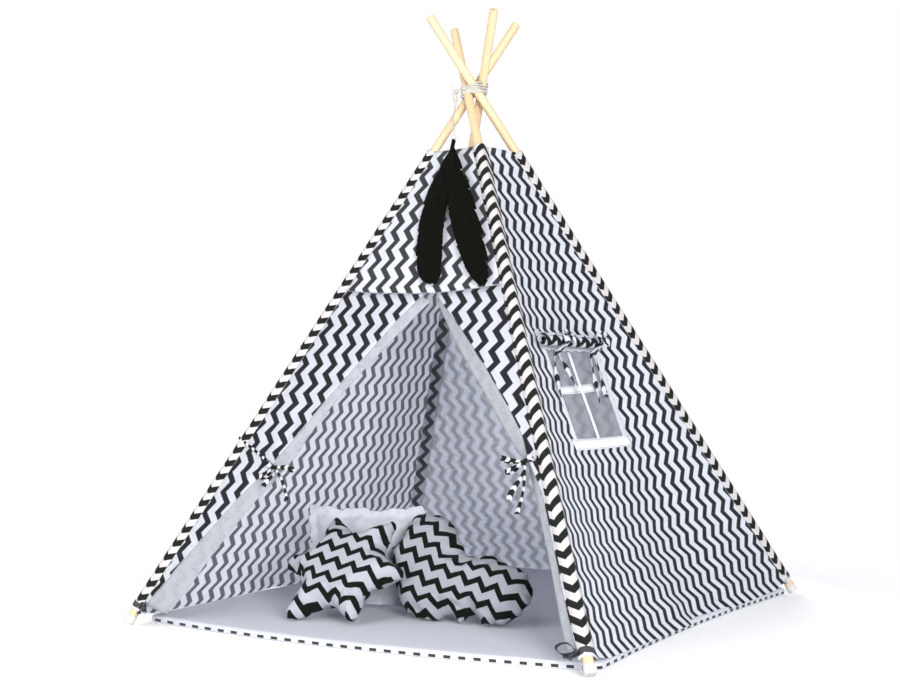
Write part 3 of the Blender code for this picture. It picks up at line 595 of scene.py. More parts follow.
class Wiring:
    """Adds and joins the nodes of one material or group."""

    def __init__(self, tree: bpy.types.NodeTree) -> None:
        """Start on a node tree."""
        self.tree = tree

    def add(self, kind: str, *values: object, **options: object) -> bpy.types.Node:
        """Add a shader node, set its options and feed its inputs in order."""
        node = self.tree.nodes.new("ShaderNode" + kind)
        for name, option in options.items():
            setattr(node, name, option)
        for socket, value in zip(node.inputs, values):
            self.feed(socket, value)
        return node

    def feed(self, socket: bpy.types.NodeSocket, value: object) -> None:
        """Link a socket to a signal, or set it to a plain value."""
        if isinstance(value, Signal):
            self.tree.links.new(value.socket, socket)
        elif isinstance(value, tuple) and socket.type == "RGBA":
            socket.default_value = (*value, 1.0)
        else:
            socket.default_value = value

    def feed_all(self, node: bpy.types.Node, values: dict[str, object], output: int | str = 0) -> Signal:
        """Feed a node's inputs by name, and give one of its outputs."""
        for key, value in values.items():
            self.feed(node.inputs[key], value)
        return Signal(self, node.outputs[output])

    def math(self, operation: str, *values: object, clamp: bool = False) -> Signal:
        """Work out a number from one to three others."""
        node = self.add("Math", *values, operation=operation, use_clamp=clamp)
        return Signal(self, node.outputs[0])

    def vector(self, operation: str, *values: object) -> Signal:
        """Work out a vector from others."""
        return Signal(self, self.add("VectorMath", *values, operation=operation).outputs[0])

    def joined(self, *parts: object) -> Signal:
        """A vector from its parts."""
        return Signal(self, self.add("CombineXYZ", *parts).outputs[0])

    def toned(self, colour: Colour, tone: Signal) -> Signal:
        """A colour made lighter or darker."""
        node = self.add("VectorMath", colour, operation="SCALE")
        return self.feed_all(node, {"Scale": tone})

    def mix(self, share: Signal | float, first: Signal | Colour, second: Signal | Colour) -> Signal:
        """Blend two colours."""
        node = self.add("Mix", share, data_type="RGBA")
        self.feed(node.inputs[6], first)
        self.feed(node.inputs[7], second)
        return Signal(self, node.outputs[2])

    def noise(self, vector: Signal, scale: float, detail: float = 2.0) -> Signal:
        """Cloudy values about one half."""
        values = {"Vector": vector, "Scale": scale, "Detail": detail, "Roughness": 0.5}
        return self.feed_all(self.add("TexNoise"), values, "Fac")

    def bump(self, height: Signal, depth: float, normal: Signal | None = None) -> Signal:
        """A normal from a height of 0 to 1 that stands for a depth in metres."""
        values = {"Strength": 1.0, "Distance": depth, "Height": height}
        return self.feed_all(self.add("Bump"), values | ({"Normal": normal} if normal else {}))

    def on_cloth(self) -> Signal:
        """Where a point lies on the flat cloth, in metres."""
        return Signal(self, self.add("UVMap", uv_map=UV_NAME).outputs[0])

    def in_piece(self) -> Signal:
        """Where a point lies in the piece's own frame, in metres."""
        return Signal(self, self.add("TexCoord").outputs["Object"])

    def group(self, name: str, **values: object) -> dict[str, Signal]:
        """Place one of the shared groups, feed its inputs by name and give its outputs."""
        node = self.add("Group", node_tree=shared_group(name))
        self.feed_all(node, {key.replace("_", " "): value for key, value in values.items()})
        return {socket.name: Signal(self, socket) for socket in node.outputs}


def chevron_group(
    work: Wiring, place: Signal, pitch: Signal, zig: Signal, period: Signal, dark_share: Signal
) -> dict[str, Signal]:
    """Zigzag stripes that run along Y: 1 where the ink is."""
    x, y, _ = place.parts()
    x = (work.noise(place, 9.0, 1.0) - 0.5).scaled(0.0035, x)
    swing = (y / period).off_middle() * 2.0 * zig
    off = ((x + swing) / pitch).off_middle()
    inside = (dark_share * 0.5 - off) / 0.02
    return {"Ink": work.math("ADD", inside, 0.5, clamp=True)}


def weave_group(work: Wiring, place: Signal, yarns: Signal) -> dict[str, Signal]:
    """Plain-woven yarns with slubs: their height, and a tone about 1."""
    x, y, z = place.parts()
    count = yarns * math.tau
    warp, weft = ((x + z) * count).sine(), ((y - z) * count).sine()
    slub = work.noise(place.stretched((900.0, 90.0, 400.0)), 1.0)
    patch = work.noise(place, 28.0, 3.0)
    return {"Height": (warp * weft).scaled(0.5, 0.5), "Tone": slub * 0.10 + patch * 0.10 + 0.90}


def creases_group(work: Wiring, place: Signal, scale: Signal) -> dict[str, Signal]:
    """Soft creases of cloth that has been folded and handled."""
    bend = work.noise(place, 4.0)
    node = work.add("TexNoise", noise_type="RIDGED_MULTIFRACTAL")
    moved = work.vector("ADD", place, work.joined(bend, bend, bend))
    return {"Height": work.feed_all(node, {"Vector": moved, "Scale": scale, "Detail": 2.0}, "Fac") * 0.5}


def grain_group(work: Wiring, place: Signal) -> dict[str, Signal]:
    """Softwood grain along Z: late-wood lines, fibres and a few small knots."""
    drift = work.noise(place.stretched((9.0, 9.0, 1.3)), 1.0)
    x, y, _ = place.parts()
    rings = drift.scaled(16.0, x * 130.0 + y * 45.0).sine()
    spots = place.stretched((14.0, 14.0, 3.1))
    near = work.feed_all(work.add("TexVoronoi"), {"Vector": spots, "Scale": 1.0}, "Distance")
    return {
        "Lines": rings.between(0.2, 1.0),
        "Fibre": work.noise(place.stretched((1500.0, 1500.0, 22.0)), 1.0, 3.0),
        "Knot": near.between(0.05, 0.16, 1.0, 0.0),
    }


def stitch_group(work: Wiring, place: Signal, across: Signal, stitch: Signal) -> dict[str, Signal]:
    """A row of stitches: 1 on the thread, along X, where Across is near 0."""
    thread = (place.parts()[0] / stitch).off_middle().between(0.30, 0.42, 1.0, 0.0)
    return {"Thread": thread * abs(across).between(0.0004, 0.0010, 1.0, 0.0)}


GROUPS: dict[str, tuple[Callable, tuple[str, ...], tuple[str, ...]]] = {
    "chevron": (chevron_group, ("Pitch", "Zig", "Period", "Dark Share"), ("Ink",)),
    "weave": (weave_group, ("Yarns",), ("Height", "Tone")),
    "creases": (creases_group, ("Scale",), ("Height",)),
    "grain": (grain_group, (), ("Lines", "Fibre", "Knot")),
    "stitches": (stitch_group, ("Across", "Stitch"), ("Thread",)),
}


def shared_group(name: str) -> bpy.types.NodeTree:
    """A shared node group, made the first time that it is asked for."""
    if name in bpy.data.node_groups:
        return bpy.data.node_groups[name]
    build, inputs, outputs = GROUPS[name]
    tree = bpy.data.node_groups.new(name, "ShaderNodeTree")
    tree.interface.new_socket("Place", in_out="INPUT", socket_type="NodeSocketVector")
    for way, keys in (("INPUT", inputs), ("OUTPUT", outputs)):
        for key in keys:
            tree.interface.new_socket(key, in_out=way, socket_type="NodeSocketFloat")
    work = Wiring(tree)
    entry, leave = tree.nodes.new("NodeGroupInput"), tree.nodes.new("NodeGroupOutput")
    inlets = [Signal(work, entry.outputs[key]) for key in ("Place", *inputs)]
    for key, signal in build(work, *inlets).items():
        work.feed(leave.inputs[key], signal)
    return tree


# Finishes


@dataclass(frozen=True)
class Finish:
    """A finish by name, made into a material the first time that it is used."""

    name: str
    rough: float

    def material(self) -> Material:
        """The material of this finish."""
        made = bpy.data.materials.get(self.name)
        if made is None:
            made = bpy.data.materials.new(self.name)
            made.use_nodes = True
            work, shader = Wiring(made.node_tree), made.node_tree.nodes["Principled BSDF"]
            look = {"Roughness": self.rough} | self.look(work)
            work.feed_all(shader, look)
            self.light_through(work, shader, look)
        return made

    def look(self, work: Wiring) -> dict[str, object]:
        """What the shader's inputs are fed with, by name."""
        raise NotImplementedError

    def light_through(self, work: Wiring, shader: bpy.types.Node, look: dict[str, object]) -> None:
        """Let light from behind come through, where the stuff is thin."""


@dataclass(frozen=True)
class Cotton(Finish):
    """Plain-woven cotton with a printed zigzag, or plain.

    The ink soaks in unevenly, and light from behind comes through the cloth.
    """

    ground: Colour = (0.78, 0.80, 0.86)
    ink: Colour = (0.014, 0.015, 0.014)
    printed: bool = True
    pitch: float = 0.042
    zig: float = 0.021
    period: float = 0.0525
    dark_share: float = 0.455
    through: float = 0.38
    ink_through: float = 0.5
    crease: float = 0.0012
    crease_scale: float = 7.0

    def look(self, work: Wiring) -> dict[str, object]:
        """The print, yarns and creases."""
        flat = work.on_cloth()
        weave = work.group("weave", Place=flat, Yarns=520.0)
        colour = work.toned(self.ground, weave["Tone"])
        if self.printed:
            sizes = dict(Pitch=self.pitch, Zig=self.zig, Period=self.period, Dark_Share=self.dark_share)
            ink = work.group("chevron", Place=flat, **sizes)["Ink"]
            colour = work.mix(ink, colour, work.toned(self.ink, work.noise(flat, 160.0).scaled(0.7, 0.65)))
        folds = work.group("creases", Place=work.in_piece(), Scale=self.crease_scale)
        relief = work.bump(folds["Height"], self.crease, work.bump(weave["Height"], 0.00012))
        return {"Base Color": colour, "Normal": relief, "Specular IOR Level": 0.08, "Sheen Weight": 0.02}

    def light_through(self, work: Wiring, shader: bpy.types.Node, look: dict[str, object]) -> None:
        """Blend the shader with one that takes light from behind."""
        colour = work.mix(self.ink_through, look["Base Color"], self.ground)
        behind = work.feed_all(work.add("BsdfTranslucent"), {"Color": colour, "Normal": look["Normal"]})
        blend = work.add("MixShader", self.through, Signal(work, shader.outputs[0]), behind)
        work.feed(work.tree.nodes["Material Output"].inputs["Surface"], Signal(work, blend.outputs[0]))


@dataclass(frozen=True)
class Tape(Finish):
    """White cotton tape with a row of stitches near each edge."""

    width: float = 0.028
    ground: Colour = (0.75, 0.76, 0.81)
    thread: Colour = (0.30, 0.31, 0.34)
    inset: float = 0.0028

    def look(self, work: Wiring) -> dict[str, object]:
        """The yarns and stitches."""
        flat = work.on_cloth()
        from_edge = abs(flat.parts()[1]) - (self.width / 2 - self.inset)
        sewn = work.group("stitches", Place=flat, Across=from_edge, Stitch=0.0042)
        weave = work.group("weave", Place=flat, Yarns=700.0)
        pulled, yarns = abs(from_edge).between(0.0, 0.003), work.bump(weave["Height"], 0.0001)
        colour = work.mix(sewn["Thread"], work.toned(self.ground, weave["Tone"]), self.thread)
        return {"Base Color": colour, "Normal": work.bump(pulled, 0.0006, yarns)}


@dataclass(frozen=True)
class Net(Finish):
    """Fine grey netting that shows some of what is behind it."""

    thread: Colour = (0.20, 0.22, 0.25)
    cover: float = 0.36

    def look(self, work: Wiring) -> dict[str, object]:
        """The threads and how open they are."""
        weave = work.group("weave", Place=work.on_cloth(), Yarns=260.0)
        colour, relief = work.toned(self.thread, weave["Tone"]), work.bump(weave["Height"], 0.0002)
        return {"Base Color": colour, "Alpha": self.cover, "Normal": relief}


@dataclass(frozen=True)
class Pine(Finish):
    """Bare softwood rod with its grain along its length."""

    pale: Colour = (0.74, 0.57, 0.36)
    late: Colour = (0.62, 0.44, 0.25)
    knot: Colour = (0.46, 0.25, 0.10)

    def look(self, work: Wiring) -> dict[str, object]:
        """The grain, fibres and knots."""
        grain = work.group("grain", Place=work.in_piece())
        wood = work.mix(grain["Lines"] * 0.55, self.pale, self.late)
        wood = work.mix(grain["Fibre"] * 0.30, wood, self.late)
        return {
            "Base Color": work.mix(grain["Knot"] * 0.75, wood, self.knot),
            "Roughness": grain["Fibre"].between(0.3, 0.7, 0.48, 0.62),
            "Normal": work.bump(grain["Fibre"], 0.00025),
        }


@dataclass(frozen=True)
class Plastic(Finish):
    """Moulded plastic with a faint orange-peel skin and scuffs at its foot."""

    tint: Colour = (0.60, 0.60, 0.575)
    scuffed: Colour = (0.46, 0.45, 0.43)

    def look(self, work: Wiring) -> dict[str, object]:
        """The skin and scuffs."""
        place = work.in_piece()
        marks = work.noise(place, 380.0, 3.0)
        worn = marks.between(0.48, 0.66) * place.parts()[2].between(0.0, 0.006, 1.0, 0.0)
        return {
            "Base Color": work.mix(worn, self.tint, self.scuffed),
            "Roughness": marks.between(0.3, 0.7, 0.38, 0.5),
            "Normal": work.bump(work.noise(place, 1400.0, 1.0), 0.00004),
        }


@dataclass(frozen=True)
class Twine(Finish):
    """Loose cotton yarn, as in cords and lashings, with its strands along X of the print."""

    tint: Colour = (0.62, 0.59, 0.53)
    shadow: Colour = (0.36, 0.33, 0.28)
    strands: float = 900.0

    def look(self, work: Wiring) -> dict[str, object]:
        """The strands and fuzz."""
        x, y, _ = work.on_cloth().parts()
        ridge = (x.scaled(0.6, y) * (self.strands * math.tau / 2)).sine().scaled(0.5, 0.5)
        fuzz = work.noise(work.in_piece(), 700.0, 3.0)
        colour = work.mix((1.0 - ridge) * fuzz, self.tint, self.shadow)
        return {"Base Color": colour, "Sheen Weight": 0.15, "Normal": work.bump(ridge + fuzz, 0.0004)}


@dataclass(frozen=True)
class Plume(Finish):
    """A dyed feather's vane: barbs that lean away from the quill, a little glossy."""

    tint: Colour = (0.0020, 0.0020, 0.0014)
    lit: Colour = (0.007, 0.007, 0.005)

    def look(self, work: Wiring) -> dict[str, object]:
        """The barbs."""
        x, y, _ = work.on_cloth().parts()
        barb = abs(y).scaled(-1.1, x)
        strands = work.noise(work.joined(barb * 520.0, y), 1.0, 3.0)
        clumps = work.noise(work.joined(barb * 70.0, y), 1.0, 1.0)
        return {
            "Base Color": work.mix(strands * clumps, self.tint, self.lit),
            "Roughness": strands.between(0.3, 0.7, 0.5, 0.75),
            "Specular IOR Level": 0.03,
            "Normal": work.bump(strands, 0.0006),
        }


@dataclass(frozen=True)
class Sheer(Finish):
    """Thin dark ribbon, finely ribbed."""

    tint: Colour = (0.010, 0.010, 0.013)
    worn: Colour = (0.04, 0.04, 0.05)
    cover: float = 0.94

    def look(self, work: Wiring) -> dict[str, object]:
        """The ribs."""
        flat = work.on_cloth()
        ribs = (flat.parts()[0] * 5200.0).sine()
        colour = work.mix(ribs.scaled(0.2, work.noise(flat, 300.0)), self.tint, self.worn)
        return {"Base Color": colour, "Alpha": self.cover, "Normal": work.bump(ribs, 0.0001)}


@dataclass(frozen=True)
class Glaze(Finish):
    """A painted wooden bead under thin gloss."""

    tint: Colour = (0.72, 0.50, 0.48)
    worn: Colour = (0.84, 0.72, 0.62)

    def look(self, work: Wiring) -> dict[str, object]:
        """The uneven paint."""
        patches = work.noise(work.in_piece(), 500.0, 3.0).between(0.50, 0.68)
        return {
            "Base Color": work.mix(patches, self.tint, self.worn),
            "Roughness": patches.between(0.0, 1.0, 0.25, 0.5),
            "Coat Weight": 0.4,
            "Normal": work.bump(patches, 0.0001),
        }


@dataclass(frozen=True)
class MatCover(Finish):
    """The mat's white top with a printed underside that shows at its foot."""

    # The grey ground stands for the white top with painted shade from the tent over it.
    ground: Colour = (0.56, 0.575, 0.64)
    ink: Colour = (0.024, 0.025, 0.024)
    dash_height: float = 0.0068
    dash_half: float = 0.0030
    pitch: float = 0.0384

    def look(self, work: Wiring) -> dict[str, object]:
        """The quilting, and the print along its foot."""
        place = work.in_piece()
        x, y, z = place.parts()
        weave = work.group("weave", Place=place, Yarns=520.0)
        dash = ((x + y) / self.pitch).off_middle().between(0.225, 0.255, 1.0, 0.0)
        foot = abs(z - self.dash_height).between(self.dash_half, self.dash_half + 0.0006, 1.0, 0.0)
        folds = work.group("creases", Place=place, Scale=5.0)
        yarns = work.bump(weave["Height"], 0.00012)
        return {
            "Base Color": work.mix(dash * foot, work.toned(self.ground, weave["Tone"]), self.ink),
            "Sheen Weight": 0.08,
            "Normal": work.bump(folds["Height"], 0.002, yarns),
        }


PRINT = Cotton("printed_cotton", 0.88)
# Gable print: the same printed cotton with paler ink, which is painted light where the gable is lit more
# strongly.
GABLE_PRINT_PAINTED_LIGHT = Cotton("gable_cotton", 0.88, ground=(0.76, 0.78, 0.84), ink=(0.042, 0.043, 0.042))
# Flap print: the same printed cotton with a darker ground, which is painted shade to hold down the
# lamplight on the flaps.
FLAP_PRINT_PAINTED_SHADE = Cotton("flap_cotton", 0.88, ground=(0.64, 0.655, 0.705))
# Inside of the printed cotton: its print shows through paler from the back, and its brighter ground is
# painted light for the tent's inside.
PRINT_INSIDE_PAINTED_LIGHT = Cotton(
    "printed_cotton_inside", 0.9, (0.93, 0.94, 0.98), (0.165, 0.175, 0.195), through=0.52, dark_share=0.42
)
# Back side's inside: the same cloth, its ink nearly as pale as its ground, which is painted light washing
# out the print from behind.
BACK_INSIDE_PAINTED_LIGHT = Cotton(
    "printed_cotton_back", 0.9, (0.88, 0.90, 0.95), (0.84, 0.86, 0.91), through=0.5, dark_share=0.42
)
# Sleeve print: its warm tint is its own, and its ground is darker than the sides', which is painted shade
# to hold down the lamplight on the sleeves.
SLEEVE_PRINT_PAINTED_SHADE = Cotton(
    "sleeve_cotton", 0.88, ground=(0.61, 0.58, 0.585), pitch=0.038, zig=0.022, period=0.052,
    dark_share=0.49, through=0.10, crease=0.0006, crease_scale=30.0,
)
WHITE = Cotton("white_cotton", 0.9, ground=(0.82, 0.83, 0.89), printed=False)
# Facings: white cloth made grey, which is painted shade where they turn in to the doorway.
FACING_PAINTED_SHADE = Cotton("facing_cotton", 0.9, (0.39, 0.405, 0.44), (0.355, 0.37, 0.41), through=0.15)
CUSHION_LOOK = dict(dark_share=0.42, through=0.0, crease=0.0015, crease_scale=14.0)
# Cushion prints: the tent's printed cotton made darker, which is painted shade inside the tent; the cloud's
# copy is darker still, with more painted shade.
CUSHION_PRINT_PAINTED_SHADE = Cotton("cushion_cotton", 0.88, (0.37, 0.385, 0.43), (0.006, 0.007, 0.006), **CUSHION_LOOK)
CLOUD_PRINT_PAINTED_SHADE = Cotton("cloud_cotton", 0.88, (0.30, 0.312, 0.35), (0.005, 0.006, 0.005), **CUSHION_LOOK)
# Pillow: white cotton made darker, which is painted shade inside the tent.
PILLOW_WHITE_PAINTED_SHADE = Cotton(
    "pillow_cotton", 0.9, ground=(0.51, 0.525, 0.58), printed=False, through=0.0, crease=0.003
)
RIBBON = Cotton(
    "ribbon_cotton", 0.88, ground=(0.62, 0.635, 0.68), pitch=0.024, zig=0.010, period=0.030,
    dark_share=0.60, through=0.10,
)
SIDE_TAPE = Tape("window_tape", 0.85)
BAR_TAPE = Tape("bar_tape", 0.85, width=0.020)
NET = Net("netting", 0.8)
PINE = Pine("pine_rod", 0.55)
CAP = Plastic("cap_plastic", 0.45)
TWINE = Twine("cotton_twine", 0.9)
PLUME = Plume("black_plume", 0.6)
QUILL = Plume("plume_quill", 0.4, tint=(0.004, 0.004, 0.003), lit=(0.014, 0.014, 0.011))
SHEER = Sheer("dark_sheer", 0.5)
BEAD = Glaze("bead_paint", 0.35)
# The mat's finish, its ground darkened with painted shade.
MAT_COVER_PAINTED_SHADE = MatCover("mat_cotton", 0.9)


# Sub-assemblies


@dataclass
class Poles:
    """Four round rods that cross near their tops, with a push-on cap at each foot."""

    length: float = 1.790
    fillet: float = 0.0020
    wobble: float = 0.006
    cap_length: float = 0.020
    cap_floor: float = 0.003
    cap_radius: float = 0.0130
    cap_fillet: float = 0.0022
    hollow: float = 0.4

    def build(self) -> None:
        """Make the rods and caps."""
        for corner in Corner:
            way = TENT.direction(corner)
            start = self.cap_radius * math.hypot(way.x, way.y) / way.z
            place = TENT.frame_on(corner, start + self.cap_floor + TENT.seat)
            rod = lathe_piece(
                "rod_" + corner.node, self.rod_profile(), place, PINE.material(), wobble=self.wobble
            )
            place_piece(rod, corner.body, "pine", "pole_" + corner.node)
            place = TENT.frame_on(corner, start)
            cap = lathe_piece("cap_" + corner.node, self.cap_profile(), place, CAP.material())
            place_piece(cap, corner.body, "cap_white", "foot_cap_" + corner.node)

    def eased(self, radius: float, fillet: float, count: int) -> list[Place]:
        """The rounded lower end of a rod, with the small radius that closes it."""
        turns = steps(0.0, math.pi / 2, count)
        round_end = [(radius - fillet * (1 - math.sin(a)), fillet * (1 - math.cos(a))) for a in turns]
        return [(radius * self.hollow, 0.0), *round_end]

    def rod_profile(self) -> list[Place]:
        """A rod with eased ends."""
        low = self.eased(TENT.pole_radius, self.fillet, 5)
        body = [(TENT.pole_radius, z) for z in steps(self.fillet, self.length - self.fillet, 24)[1:-1]]
        return low + body + [(r, self.length - z) for r, z in low[::-1]]

    def cap_profile(self) -> list[Place]:
        """A cup with a rounded foot and a soft lip."""
        bore = TENT.pole_radius + TENT.seat
        lip, middle = (self.cap_radius - bore) / 2, (self.cap_radius + bore) / 2
        top = self.cap_length - lip
        rim = [(middle + lip * math.cos(a), top + lip * math.sin(a)) for a in steps(0.0, math.pi, 6)]
        inside = [(bore, self.cap_floor + 0.002), (bore * self.hollow, self.cap_floor)]
        return self.eased(self.cap_radius, self.cap_fillet, 6) + rim + inside


@dataclass
class Sleeves:
    """Printed tubes on the poles, sewn flat to the sides next to them."""

    start: float = 0.0435
    outer: float = 0.0139
    inner: float = 0.0135
    wall: float = 0.0011
    collar: float = 0.0070
    rows: int = 170
    printed_points: int = 24
    foot_turn: float = 72.0
    pucker: float = 0.0005
    uneven: float = 0.016
    hem: float = 0.012
    seam_in: dict[Side, float] = field(
        default_factory=lambda: {Side.FRONT: 0.003, Side.BACK: 0.003, Side.LEFT: 0.013, Side.RIGHT: 0.013}
    )
    low_points: dict[Corner, float] = field(
        default_factory=lambda: dict(zip(Corner, (47.0, -80.0, -105.0, 0.0)))
    )

    def build(self) -> None:
        """Make the four sleeves, each with a white band at its foot and a turned hem at its top."""
        for corner in Corner:
            end = TENT.cover_top / TENT.direction(corner).z
            lengths = (
                (self.start + self.collar * 0.8, end, self.rows, SLEEVE_PRINT_PAINTED_SHADE, 0.0),
                (self.start, self.start + self.collar, 3, WHITE, 0.0004),
                (end - self.hem, end + 0.001, 4, SLEEVE_PRINT_PAINTED_SHADE, 0.0006),
            )
            piece = joined("sleeve_cloth_" + corner.node, [self.tube(corner, *each) for each in lengths])
            place_piece(piece, corner.body, "print_cloth", "sleeve_" + corner.node)

    def tube(
        self, corner: Corner, low: float, high: float, rows: int, finish: Finish, swell: float
    ) -> Piece:
        """A length of the sleeve between two distances up its pole."""
        sections = [self.section(corner, along, swell) for along in steps(low, high, rows)]
        rings, uvs = zip(*sections)
        # The inner half takes the inside cotton, whose brighter ground is painted light.
        materials = [finish.material(), PRINT_INSIDE_PAINTED_LIGHT.material()]
        piece = ring_piece("tube", rings, uvs, materials[:1], caps=False)
        thicken(piece, self.wall)
        piece.data.materials.append(materials[1])
        for face in piece.data.polygons:
            face.material_index = int(face.index % len(rings[0]) >= self.printed_points)
        return piece

    def section(self, corner: Corner, along: float, swell: float) -> tuple[list[Vector], list[Place]]:
        """The sleeve's closed section at a distance up its pole, and its places on the cloth."""
        way = TENT.direction(corner)
        height = along * way.z
        centre = TENT.axis(corner, height)
        out = Vector((*corner.value, 0))
        out = (out - way * out.dot(way)).normalized()
        beside = way.cross(out)
        seams = {}
        for side in (side for side in Side if corner in side.corners):
            which = side.corners.index(corner)
            across = TENT.reach(side, height)[which] + (1, -1)[which] * self.seam_in[side]
            pucker = self.pucker * ripple(along * 60, which, side.axis * 5)
            for face in (1, -1):
                lift = face * (TENT.cloth / 2 + self.wall / 2 + 0.0001) + pucker
                off = TENT.point(side, across, height, lift) - centre
                seams[off.dot(beside) > 0, face] = Vector((off.dot(out), off.dot(beside)))
        loop = self.half_loop(seams[False, 1], seams[True, 1], self.outer + swell, 18)
        middle = self.run_to_front(loop)
        loop += self.half_loop(seams[True, -1], seams[False, -1], self.inner + swell, 12)
        turn = self.low_points[corner]
        if corner is Corner.FRONT_RIGHT:
            turn += self.foot_turn * (1 - smooth(0.12, 0.50, along))
        start = middle + self.outer * math.radians(turn)
        ring, line = [], []
        for n, (point, run) in enumerate(zip(loop + loop[:1], runs_along(loop + loop[:1]))):
            angle = math.atan2(point.y, point.x)
            size = 1 + self.uneven * ripple(math.cos(angle) * 1.5, math.sin(angle) * 1.5, along * 22)
            ring.append(centre + (out * point.x + beside * point.y) * size)
            inner_half = self.printed_points < n < len(loop)
            line.append((run - start, along) if inner_half else (along, run - start))
        return ring[:-1], line

    @staticmethod
    def half_loop(first: Vector, last: Vector, radius: float, count: int) -> list[Vector]:
        """A line from one seam on to the round of the pole, round it and off to the other seam."""
        turn_on = math.atan2(first.y, first.x) + math.acos(min(1.0, radius / first.length))
        turn_off = math.atan2(last.y, last.x) - math.acos(min(1.0, radius / last.length))
        if turn_off < turn_on:
            turn_off += math.tau
        arc = [Vector((math.cos(a), math.sin(a))) * radius for a in steps(turn_on, turn_off, count)]
        lead = [first.lerp(arc[0], t) for t in (0.0, 0.33, 0.67)]
        return lead + arc + [arc[-1].lerp(last, t) for t in (0.33, 0.67, 1.0)]

    @staticmethod
    def run_to_front(loop: Sequence[Vector]) -> float:
        """How far along the outer half its foremost line lies."""
        for a, b, run in zip(loop, loop[1:], runs_along(loop)):
            if a.y <= 0 < b.y and a.x > 0:
                return run + (b - a).length * (-a.y / (b.y - a.y))
        return runs_along(loop)[-1] / 2


